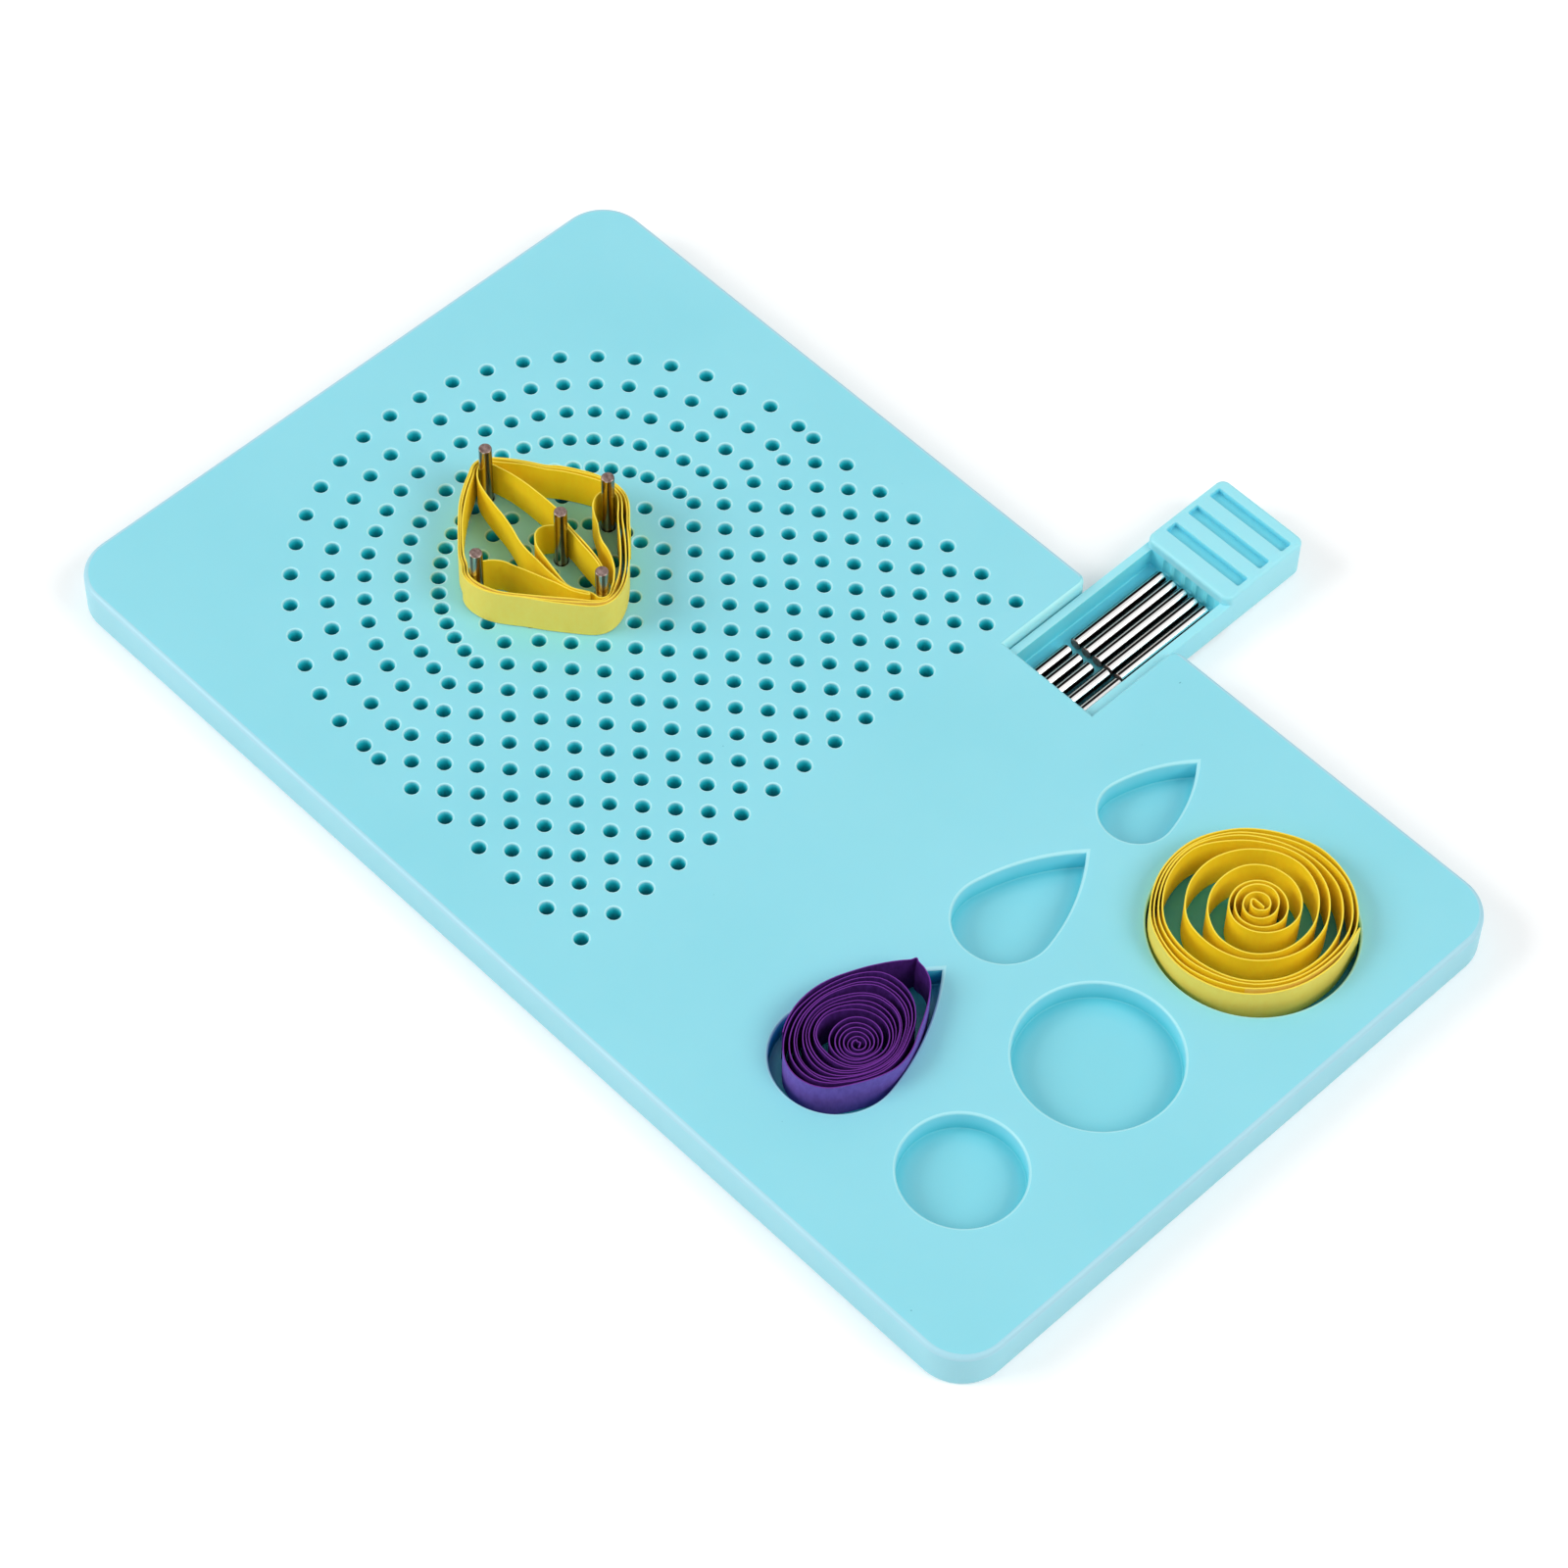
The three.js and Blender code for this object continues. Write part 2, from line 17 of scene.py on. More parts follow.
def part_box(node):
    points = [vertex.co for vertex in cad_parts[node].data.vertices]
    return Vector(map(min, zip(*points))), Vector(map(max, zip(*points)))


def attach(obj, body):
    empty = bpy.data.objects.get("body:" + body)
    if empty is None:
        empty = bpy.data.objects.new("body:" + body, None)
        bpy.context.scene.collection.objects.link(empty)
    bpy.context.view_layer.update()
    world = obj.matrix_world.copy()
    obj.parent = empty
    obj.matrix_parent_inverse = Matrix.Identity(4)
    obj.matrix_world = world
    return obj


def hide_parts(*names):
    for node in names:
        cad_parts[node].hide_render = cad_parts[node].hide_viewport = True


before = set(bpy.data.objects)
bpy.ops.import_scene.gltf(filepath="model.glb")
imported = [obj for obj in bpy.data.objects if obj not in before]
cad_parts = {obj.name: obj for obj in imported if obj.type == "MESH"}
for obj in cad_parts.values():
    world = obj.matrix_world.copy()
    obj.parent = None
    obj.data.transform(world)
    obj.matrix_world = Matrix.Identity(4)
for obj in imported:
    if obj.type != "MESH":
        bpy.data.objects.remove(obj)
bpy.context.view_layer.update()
print("solids:", ", ".join(sorted(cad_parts)))

# %% [markdown]
# Every size below is in metres, as Blender wants it, but a board of this kind is measured in
# millimetres. One short name keeps the numbers readable. The board's own box gives its middle
# and its upper face, and all places are worked out from them.

# %% The board's place
MM = 0.001
TINY = 0.001 * MM
board_low, board_high = (Vector(corner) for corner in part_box("board"))
board_middle = (board_low + board_high) / 2
board_size = board_high - board_low
top = board_high.z
print("board", [round(side / MM, 2) for side in board_size], "mm")

# %% [markdown]
# Pieces are modelled with the same operators as by hand. Four helpers do what the mouse would
# do: one lets go of everything, one takes a piece, one opens it for editing, and one picks the
# faces, edges or points that pass a test.

# %% Helpers for picking
def let_go():
    """Leaves edit mode and deselects everything."""
    if bpy.context.object and bpy.context.object.mode != "OBJECT":
        bpy.ops.object.mode_set(mode="OBJECT")
    bpy.ops.object.select_all(action="DESELECT")


def take(piece):
    """Selects one piece alone and makes it the active one."""
    let_go()
    piece.select_set(True)
    bpy.context.view_layer.objects.active = piece


def edit(piece):
    """Takes one piece and opens it for editing."""
    take(piece)
    bpy.ops.object.mode_set(mode="EDIT")


def pick(kind, test):
    """In edit mode, selects the verts, edges or faces that pass the test."""
    mesh = bmesh.from_edit_mesh(bpy.context.object.data)
    bpy.ops.mesh.select_mode(type={"verts": "VERT", "edges": "EDGE", "faces": "FACE"}[kind])
    bpy.ops.mesh.select_all(action="DESELECT")
    chosen = [part for part in getattr(mesh, kind) if test(part)]
    for part in chosen:
        part.select_set(True)
    bmesh.update_edit_mesh(bpy.context.object.data)
    return len(chosen)


def upright(edge):
    """True for an edge that runs straight up."""
    a, b = (vert.co for vert in edge.verts)
    return (a - b).xy.length < 0.1 * TINY


def level(edge, height):
    """True for an edge that lies at that height."""
    return all(abs(vert.co.z - height) < TINY for vert in edge.verts)


print("helpers for picking ready")

# %% [markdown]
# Moulded parts are made as on a bench, by cutting a block and rounding what is left. A bevel
# rounds the edges that are picked, and a Boolean modifier cuts or joins two closed pieces. Round
# stretches are shaded smooth at the end, and a Weighted Normal modifier keeps the large flat
# faces flat beside them.

# %% Helpers for cutting and rounding
SMOOTH_BELOW = math.radians(30)


def new_block(name, low, high):
    """A block between two corners, open for editing."""
    let_go()
    low, high = Vector(low), Vector(high)
    bpy.ops.mesh.primitive_cube_add(size=1, location=(low + high) / 2)
    block = bpy.context.object
    block.name = name
    block.scale = high - low
    bpy.ops.object.transform_apply(location=True, rotation=True, scale=True)
    bpy.ops.object.mode_set(mode="EDIT")
    return block


def round_edges(test, radius, segments):
    """In edit mode, bevels the edges that pass the test."""
    count = pick("edges", test)
    bpy.ops.mesh.bevel(offset=radius, segments=segments, affect="EDGES", clamp_overlap=False)
    return count


def combine(piece, other, operation):
    """Cuts the other piece out of the first, or joins it on, and uses it up."""
    take(piece)
    modifier = piece.modifiers.new("combine", "BOOLEAN")
    modifier.operation = operation
    modifier.solver = "EXACT"
    modifier.object = other
    bpy.ops.object.modifier_apply(modifier="combine")
    bpy.data.objects.remove(other)


def cut(piece, cutter):
    combine(piece, cutter, "DIFFERENCE")


def smooth(piece):
    """Shades round stretches as round and keeps edges sharp and flat faces flat."""
    take(piece)
    bpy.ops.object.shade_smooth_by_angle(angle=SMOOTH_BELOW)
    weigh = piece.modifiers.new("flat faces", "WEIGHTED_NORMAL")
    weigh.keep_sharp = True
    bpy.ops.object.modifier_apply(modifier="flat faces")


print("helpers for cutting ready")

# %% [markdown]
# ## The pattern of pin holes
#
# Half rings of holes lie round one centre, and a diamond lattice fills the rest of the pattern.
# The angle between two holes halves each time that a ring's radius doubles, so the holes stay
# about equally close. A list of places is all that is needed: one cutter is modelled and copied
# to every place.

# %% Places of the holes
RING_CENTRE = board_middle + Vector((-32, 0, 0)) * MM
RING_STEP = 4.5 * MM
RINGS = 8
RING_ANGLE = 30
RING_HALVINGS = 2
LATTICE_START = 2.66 * MM
LATTICE_STEP = 2.94 * MM
LATTICE_COLUMNS = 13
LATTICE_ROWS = 15


def ring_hole(ring, angle):
    turn = math.radians(angle)
    return RING_CENTRE + Vector((math.cos(turn), math.sin(turn), 0)) * ring * RING_STEP


def lattice_hole(column, row):
    row_step = 2 * RINGS * RING_STEP / (LATTICE_ROWS - 1)
    y = (row + 0.5 * (column % 2) - (LATTICE_ROWS - 1) / 2) * row_step
    return RING_CENTRE + Vector((LATTICE_START + column * LATTICE_STEP, y, 0))


def all_holes():
    places = [RING_CENTRE.copy()]
    for ring in range(1, RINGS + 1):
        step = RING_ANGLE / 2 ** min(int(math.log2(ring)), RING_HALVINGS)
        places += [ring_hole(ring, 90 + k * step) for k in range(round(180 / step) + 1)]
    for column in range(LATTICE_COLUMNS):
        places += [lattice_hole(column, row) for row in range(LATTICE_ROWS - column % 2)]
    return places


holes = all_holes()
print(len(holes), "holes")

# %% [markdown]
# ## The board
#
# The board is one moulding with soft edges. It starts as a block: its four upright edges are
# bevelled to the corner radius, the window for the drawer is cut in, the window's mouth is
# rounded, and the rims all round are bevelled last, so that they follow every corner.

# %% The block, its corners, and the drawer's window
CORNER_RADIUS = 6 * MM
DRAWER_X = 16.8 * MM
WINDOW_HALF = 7.25 * MM
WINDOW_END = board_middle.y + 30.5 * MM

board = new_block("board_moulding", board_low, board_high)
round_edges(upright, CORNER_RADIUS, segments=14)
window_low = (DRAWER_X - WINDOW_HALF, WINDOW_END, board_low.z - MM)
window_high = (DRAWER_X + WINDOW_HALF, board_high.y + MM, top + MM)
cut(board, new_block("window_cutter", window_low, window_high))
print("block cut")

# %% The window's mouth and the rims
RIM_RADIUS = 0.6 * MM
MOUTH_RADIUS = 1.4 * MM


def at_mouth(edge):
    x, y = edge.verts[0].co.xy
    on_edge = abs(y - board_high.y) < TINY
    return upright(edge) and on_edge and abs(abs(x - DRAWER_X) - WINDOW_HALF) < TINY


def at_outer_rim(edge):
    return level(edge, top) or level(edge, board_low.z)


edit(board)
round_edges(at_mouth, MOUTH_RADIUS, segments=6)
print("rim edges rounded:", round_edges(at_outer_rim, RIM_RADIUS, segments=4))

# %% [markdown]
# ## The channel under the skin
#
# The drawer's tray slides in a channel that is open at the bottom, with a groove in each side
# that the drawer's tongues run in. Two blocks cut it out.

# %% Channel and grooves
CHANNEL_TOP = 4.9 * MM
GROOVE_DEPTH = 0.8 * MM
GROOVE_LOW = 1.73 * MM
GROOVE_HIGH = 3.43 * MM
CHANNEL_END = board_middle.y - 3.95 * MM


def channel_cutter(side, low, high, mouth):
    reach = WINDOW_HALF + side
    return new_block(
        "channel_cutter", (DRAWER_X - reach, CHANNEL_END, low), (DRAWER_X + reach, mouth, high))


cut(board, channel_cutter(0, board_low.z - MM, CHANNEL_TOP, WINDOW_END + MM))
cut(board, channel_cutter(GROOVE_DEPTH, GROOVE_LOW, GROOVE_HIGH, WINDOW_END + 10 * TINY))
print("channel cut, board has", len(board.data.polygons), "faces")

# %% [markdown]
# ## The moulds and the holes
#
# A mould is a straight-sided pocket with a softly rounded rim and a small fillet at its floor.
# Its cutter is an outline that is extruded upwards in steps, each step a little wider or
# narrower, like a potter's profile. A circle's cutter starts as a circle primitive. A drop's
# starts as the same circle, whose points are then pulled out to the drop: a round end whose
# circle runs into two long arcs that meet at the tip.

# %% The stepped cutter
def round_outline(angle):
    return 1.0


def stepped_cutter(name, centre, radius, steps, segments, outline=round_outline):
    """A closed cutter. steps are (height, growth) pairs from the lowest up."""
    let_go()
    height, growth = steps[0]
    bpy.ops.mesh.primitive_circle_add(vertices=segments, radius=radius, fill_type="NGON")
    cutter = bpy.context.object
    cutter.name = name
    for vert in cutter.data.vertices:
        angle = math.atan2(vert.co.y, vert.co.x)
        vert.co *= outline(angle) * (1 + growth / radius)
        vert.co += Vector((centre.x, centre.y, height))
    bpy.ops.object.mode_set(mode="EDIT")
    bpy.ops.mesh.select_all(action="SELECT")
    for next_height, next_growth in steps[1:]:
        bpy.ops.mesh.extrude_region_move(
            TRANSFORM_OT_translate={"value": (0, 0, next_height - height)})
        scale = (radius + next_growth) / (radius + growth)
        bpy.ops.transform.resize(
            value=(scale, scale, 1), center_override=(centre.x, centre.y, next_height))
        height, growth = next_height, next_growth
    bpy.ops.mesh.select_all(action="SELECT")
    bpy.ops.mesh.normals_make_consistent(inside=False)
    bpy.ops.object.mode_set(mode="OBJECT")
    return cutter


def rim_steps(count, rim, surface):
    """The rounded rim: a quarter circle that opens upwards to the surface, then a lid above it."""
    turns = [math.pi / 2 * k / count for k in range(count + 1)]
    steps = [(surface - rim * (1 - math.sin(t)), rim * (1 - math.cos(t))) for t in turns]
    return steps + [(surface + MM, rim)]


print("stepped cutter ready")

# %% The outline of a drop
DROP_WIDTH_SHARE = 0.615
DROP_SIDE_SHARE = 1.4


def drop_outline(length):
    """How far a drop reaches at an angle from its round end's centre, in that end's radii."""
    end = length * DROP_WIDTH_SHARE / 2
    tip = length - end
    side = length * DROP_SIDE_SHARE
    reach = side - end
    joint = math.asin((2 * side * end - end ** 2 - tip ** 2) / (2 * tip * reach))

    def outline(angle):
        sine, cosine = math.sin(angle), abs(math.cos(angle))
        if math.atan2(sine, cosine) <= joint:
            return 1.0
        along = -reach * (math.cos(joint) * cosine + math.sin(joint) * sine)
        return (along + math.sqrt(along ** 2 - reach ** 2 + side ** 2)) / end

    return outline


print("a drop is", round(drop_outline(25 * MM)(math.pi / 2), 2), "round-end radii tall")

# %% Cut the six moulds
MOULD_FLOOR = 3 * MM
MOULD_RIM = 0.3 * MM
FLOOR_FILLET = 0.25 * MM
FILLET_KNEE = 0.3 * FLOOR_FILLET
CIRCLE_X = 58.2 * MM
CIRCLES = {"large": (25 * MM, 21.9 * MM), "middle": (20 * MM, -4.1 * MM), "small": (15 * MM, -26.2 * MM)}
DROP_X = 37.6 * MM
DROPS = {"large": (25 * MM, -33.6 * MM), "middle": (20 * MM, -4.6 * MM), "small": (15 * MM, 19.4 * MM)}
MOULD_SIDES = 96


def mould_steps():
    fillet = [
        (MOULD_FLOOR, -FLOOR_FILLET),
        (MOULD_FLOOR + FILLET_KNEE, -FILLET_KNEE),
        (MOULD_FLOOR + FLOOR_FILLET, 0)]
    return fillet + rim_steps(4, MOULD_RIM, top)


def circle_centre(size):
    return Vector((CIRCLE_X, board_middle.y + CIRCLES[size][1], 0))


def drop_centre(size):
    length, low = DROPS[size]
    return Vector((DROP_X, board_middle.y + low + length * DROP_WIDTH_SHARE / 2, 0))


moulds = [(circle_centre(size), diameter / 2, round_outline) for size, (diameter, _) in CIRCLES.items()]
moulds += [
    (drop_centre(size), length * DROP_WIDTH_SHARE / 2, drop_outline(length))
    for size, (length, _) in DROPS.items()]
for centre, radius, outline in moulds:
    cut(board, stepped_cutter("mould_cutter", centre, radius, mould_steps(), MOULD_SIDES, outline))
print("moulds cut, board has", len(board.data.polygons), "faces")

# %% [markdown]
# Shade is painted deeper where a floor meets its wall. For that, each floor gets two rings
# inside its outline: it is extruded on the spot and drawn in towards its middle.

# %% Rings on the mould floors
FLOOR_RINGS = (0.88, 0.7)


def is_floor_of(centre, radius):
    def test(face):
        middle = face.calc_center_median()
        return abs(middle.z - MOULD_FLOOR) < TINY and (middle - centre).xy.length < radius
    return test


edit(board)
ringed = 0
for centre, radius, _ in moulds:
    ringed += pick("faces", is_floor_of(centre, radius))
    size = 1
    for ring in FLOOR_RINGS:
        bpy.ops.mesh.extrude_region_move()
        bpy.ops.transform.resize(
            value=(ring / size, ring / size, 1), center_override=(centre.x, centre.y, MOULD_FLOOR))
        size = ring
let_go()
print("rings on", ringed, "floors")

# %% [markdown]
# One hole is modelled the same way, with few faces, because it is repeated hundreds of times.
# It is copied to every place, and all copies cut the board in one go.

# %% Cut the pin holes
HOLE_RADIUS = 0.9 * MM
HOLE_RIM = 0.22 * MM
HOLE_SIDES = 14

first = stepped_cutter(
    "hole_cutter", Vector((0, 0, 0)), HOLE_RADIUS,
    [(board_low.z - MM, 0)] + rim_steps(2, HOLE_RIM, top), HOLE_SIDES)
copies = []
for place in holes:
    copy = first.copy()
    copy.data = first.data.copy()
    copy.data.transform(Matrix.Translation((place.x, place.y, 0)))
    bpy.context.collection.objects.link(copy)
    copies.append(copy)
bpy.data.objects.remove(first)
let_go()
for copy in copies:
    copy.select_set(True)
bpy.context.view_layer.objects.active = copies[0]
bpy.ops.object.join()
cut(board, bpy.context.object)
smooth(board)
print("board has", len(board.data.polygons), "faces")

# %% [markdown]
# ## The drawer
#
# The drawer is one moulding too: a finger pad with three grip grooves, and behind it an open
# tray. The pad is a block with rounded corners and rims, and the grooves are cut in with flat
# floors and slightly broken edges.

# %% The finger pad
drawer_low, drawer_high = (Vector(corner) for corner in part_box("pin_drawer"))
PAD_HALF = 6.95 * MM
PAD_LENGTH = 14 * MM
PAD_CORNER = 1.2 * MM
PAD_RIM = 0.5 * MM
pad_face = drawer_high.y - PAD_LENGTH

drawer = new_block(
    "drawer_moulding",
    (DRAWER_X - PAD_HALF, pad_face, drawer_low.z),
    (DRAWER_X + PAD_HALF, drawer_high.y, top))
round_edges(upright, PAD_CORNER, segments=6)
round_edges(lambda edge: level(edge, top) or level(edge, drawer_low.z), PAD_RIM, segments=4)
let_go()
print("finger pad", round(PAD_LENGTH / MM, 1), "mm long")

# %% The grip grooves
GRIP_HALF = 6.05 * MM
GRIP_WIDTH = 1.8 * MM
GRIP_DEPTH = 0.9 * MM
GRIP_PITCH = 3.93 * MM
GRIP_FIRST = 2.55 * MM
GRIP_CORNER = 0.25 * MM
GRIP_FILLET = 0.12 * MM
GRIP_BREAK = 0.12 * MM
GRIPS = 3


def over_grooves(place):
    """True where a place lies above or in one of the grooves."""
    along = (drawer_high.y - GRIP_FIRST - place.y) / GRIP_PITCH
    near = abs(along - min(max(round(along), 0), GRIPS - 1)) * GRIP_PITCH
    return abs(place.x - DRAWER_X) < GRIP_HALF + TINY and near < GRIP_WIDTH / 2 + TINY


for k in range(GRIPS):
    middle = drawer_high.y - GRIP_FIRST - k * GRIP_PITCH
    groove = new_block(
        "groove_cutter",
        (DRAWER_X - GRIP_HALF, middle - GRIP_WIDTH / 2, top - GRIP_DEPTH),
        (DRAWER_X + GRIP_HALF, middle + GRIP_WIDTH / 2, top + MM))
    round_edges(upright, GRIP_CORNER, segments=3)
    round_edges(lambda edge: level(edge, top - GRIP_DEPTH), GRIP_FILLET, segments=2)
    cut(drawer, groove)
edit(drawer)
broken = round_edges(
    lambda edge: level(edge, top) and all(over_grooves(vert.co) for vert in edge.verts),
    GRIP_BREAK, segments=2)
print(GRIPS, "grooves cut,", broken, "edges broken")

# %% [markdown]
# The tray is a second block. Its tongues are a flatter and wider block that is joined on, and
# both are hollowed out in one cut, so that the pins have a clean bed.

# %% The tray and its tongues
TRAY_TOP = 4.65 * MM
TRAY_LOW = 0.5 * MM
TRAY_FLOOR = 1.7 * MM
TRAY_WALL = 1.15 * MM
TRAY_CORNER = 0.5 * MM
TRAY_RIM = 0.15 * MM
TONGUE_LOW = 1.975 * MM
TONGUE_HIGH = 3.175 * MM
TONGUE_FRONT = WINDOW_END - 0.3 * MM

tray = new_block(
    "tray",
    (DRAWER_X - PAD_HALF, drawer_low.y, TRAY_LOW),
    (DRAWER_X + PAD_HALF, pad_face + MM, TRAY_TOP))
round_edges(
    lambda edge: upright(edge) and edge.verts[0].co.y < drawer_low.y + MM, TRAY_CORNER, segments=4)
round_edges(lambda edge: level(edge, TRAY_TOP), TRAY_RIM, segments=2)
let_go()
hollow = new_block(
    "tray_cutter",
    (DRAWER_X - PAD_HALF + TRAY_WALL, drawer_low.y + TRAY_WALL, TRAY_FLOOR),
    (DRAWER_X + PAD_HALF - TRAY_WALL, pad_face, top + MM))
round_edges(lambda edge: upright(edge) or level(edge, TRAY_FLOOR), TRAY_CORNER / 2, segments=3)
tongues = new_block(
    "tongues", (drawer_low.x, drawer_low.y, TONGUE_LOW), (drawer_high.x, TONGUE_FRONT, TONGUE_HIGH))
let_go()
combine(tray, tongues, "UNION")
combine(drawer, tray, "UNION")
cut(drawer, hollow)
print("drawer has", len(drawer.data.polygons), "faces")

# %% [markdown]
# Behind the pad, the wall has five shallow flutes, one for the end of each pin of the first
# row. A flute's cutter is an upright cylinder with a rounded top that reaches a little way into
# the wall.

# %% The flutes
FLUTE_RADIUS = 0.95 * MM
FLUTE_DEPTH = 0.28 * MM
FLUTE_LOW = TRAY_FLOOR + 0.3 * MM
FLUTE_HIGH = 4.6 * MM
FLUTE_ROUND = 0.3 * MM
FLUTE_SIDES = 32
SPARE_PINS = range(1, 11)
ROW_DEPTH = 2 * MM


def flute_cutter(x):
    let_go()
    place = (x, pad_face + FLUTE_DEPTH - FLUTE_RADIUS, (FLUTE_LOW + FLUTE_HIGH) / 2)
    bpy.ops.mesh.primitive_cylinder_add(
        vertices=FLUTE_SIDES, radius=FLUTE_RADIUS, depth=FLUTE_HIGH - FLUTE_LOW, location=place)
    flute = bpy.context.object
    bpy.ops.object.transform_apply(location=True, rotation=True, scale=True)
    bpy.ops.object.mode_set(mode="EDIT")
    round_edges(lambda edge: level(edge, FLUTE_HIGH) or level(edge, FLUTE_LOW), FLUTE_ROUND, segments=3)
    bpy.ops.object.mode_set(mode="OBJECT")
    return flute


spare_boxes = [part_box(f"stored_pin_{k}") for k in SPARE_PINS]
furthest = max(high[1] for _, high in spare_boxes)
first_row = [(low, high) for low, high in spare_boxes if furthest - high[1] < ROW_DEPTH]
for low, high in first_row:
    cut(drawer, flute_cutter((low[0] + high[0]) / 2))
smooth(drawer)
print(len(first_row), "flutes cut")

# %% [markdown]
# ## The steel pins
#
# A pin is a cut length of drawn wire, so it is a cylinder whose two ends are bevelled. Each pin
# has its own mesh, standing or lying in the place that its solid has.

# %% Model the pins
PIN_RADIUS = 0.825 * MM
PIN_LENGTH = 15.5 * MM
PIN_BEVEL = 0.22 * MM
PIN_SIDES = 32
STANDING_PINS = range(1, 6)


def pin_at(name, node, along_y):
    """A pin in the place of its solid, standing or lying along Y."""
    low, high = (Vector(corner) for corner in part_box(node))
    let_go()
    bpy.ops.mesh.primitive_cylinder_add(vertices=PIN_SIDES, radius=PIN_RADIUS, depth=PIN_LENGTH)
    pin = bpy.context.object
    pin.name = name
    bpy.ops.object.mode_set(mode="EDIT")
    round_edges(
        lambda edge: any(level(edge, end * PIN_LENGTH / 2) for end in (-1, 1)), PIN_BEVEL, segments=3)
    bpy.ops.object.mode_set(mode="OBJECT")
    if along_y:
        pin.rotation_euler.x = math.pi / 2
    pin.location = (low + high) / 2
    bpy.ops.object.transform_apply(location=True, rotation=True, scale=True)
    smooth(pin)
    return pin


standing_pins = [pin_at(f"steel_pin_{k}", f"standing_pin_{k}", along_y=False) for k in STANDING_PINS]
stored_pins = [pin_at(f"spare_pin_{k}", f"stored_pin_{k}", along_y=True) for k in SPARE_PINS]
print(len(standing_pins), "standing pins,", len(stored_pins), "spare pins")

# %% [markdown]
# ## Strips of paper
#
# Quilling paper is a narrow strip that stands on its edge. Here each strip starts as a flat grid
# as long as it has stations on its way. Its columns are then set along a route, which is what a
# Curve modifier would do, but done directly each column can also stand a little higher or lower,
# as real layers never lie quite flush, and lean out above the board. A Solidify modifier gives
# the paper its thickness, and the outer side of the last lap is marked for a paler finish, which
# is painted light.

# %% A smooth way through given points
def between(four, t):
    """The place at a share t of the way between the middle two of four, on a Catmull-Rom curve."""
    p0, p1, p2, p3 = four
    return 0.5 * (2 * p1 + (p2 - p0) * t + (2 * p0 - 5 * p1 + 4 * p2 - p3) * t ** 2
                  + (3 * p1 - p0 - 3 * p2 + p3) * t ** 3)


def smooth_way(points, steps):
    """Places along a smooth curve through the given points, which it starts and ends at."""
    points = np.array(points, dtype=float)
    padded = np.vstack([2 * points[0] - points[1], points, 2 * points[-1] - points[-2]])
    way = []
    for k in range(len(points) - 1):
        way += [between(padded[k:k + 4], t) for t in np.linspace(0, 1, steps, endpoint=False)]
    return np.array(way + [points[-1]])


def on_circle(centre, radius, degrees):
    turn = math.radians(degrees)
    return np.array(centre) + radius * np.array([math.cos(turn), math.sin(turn)])


print("smooth ways ready")

# %% Stand a strip on its edge along a way
PAPER_HEIGHT = 5.5 * MM
PAPER_THICKNESS = 0.17 * MM
PAPER_ROWS = 5
PAPER_LIFT = 0.1 * MM
PAPER_WAVER = 0.12 * MM
PAPER_SMOOTH_BELOW = math.radians(40)

# Each wave along the upper edge has a length in millimetres and a shift.
PAPER_WAVES = [(7.3, 0), (4.1, 2), (2.7, 1)]


def paper_strip(
        name, way, low, outside_from, foot=None, waver=PAPER_WAVER, thickness=PAPER_THICKNESS):
    """A strip along a way of (x, y) places. Its lower half stands on the foot's places instead."""
    foot = way if foot is None else foot
    let_go()
    bpy.ops.mesh.primitive_grid_add(x_subdivisions=len(way) - 1, y_subdivisions=PAPER_ROWS - 1, size=1)
    strip = bpy.context.object
    strip.name = name
    run = np.concatenate([[0], np.cumsum(np.linalg.norm(np.diff(way, axis=0), axis=1))])
    columns = []
    for vert in strip.data.vertices:
        column = round((vert.co.x + 0.5) * (len(way) - 1))
        share = vert.co.y + 0.5
        lift = waver * sum(
            math.sin(run[column] / (length * MM) + shift) for length, shift in PAPER_WAVES)
        x, y = foot[column] + (way[column] - foot[column]) * max(0, 2 * share - 1)
        vert.co = (x, y, low + share * PAPER_HEIGHT + max(lift, -0.5 * waver) * share)
        columns.append(column)
    wall = strip.modifiers.new("thickness", "SOLIDIFY")
    wall.thickness = thickness
    wall.offset = 0
    wall.use_even_offset = True
    bpy.ops.object.modifier_apply(modifier="thickness")
    mark_outside(strip, columns, outside_from)
    bpy.ops.object.mode_set(mode="EDIT")
    bpy.ops.mesh.select_all(action="SELECT")
    bpy.ops.mesh.normals_make_consistent(inside=False)
    bpy.ops.object.mode_set(mode="OBJECT")
    bpy.ops.object.shade_smooth_by_angle(angle=PAPER_SMOOTH_BELOW)
    print(name, "is", round(run[-1] / MM), "mm long")
    return strip


def mark_outside(strip, columns, outside_from):
    """Gives the second finish, the paler one of painted light, to the outer side of the columns from
    that one on.
    """
    count = len(columns)
    places = np.array([vert.co[:2] for vert in strip.data.vertices])
    reach = np.linalg.norm(places - places.mean(axis=0), axis=1)
    late = np.array(columns) >= outside_from
    outer_half = 0 if reach[:count][late].mean() > reach[count:][late].mean() else 1
    for face in strip.data.polygons:
        if all(vert // count == outer_half and late[vert % count] for vert in face.vertices):
            face.material_index = 1


print("paper helpers ready")
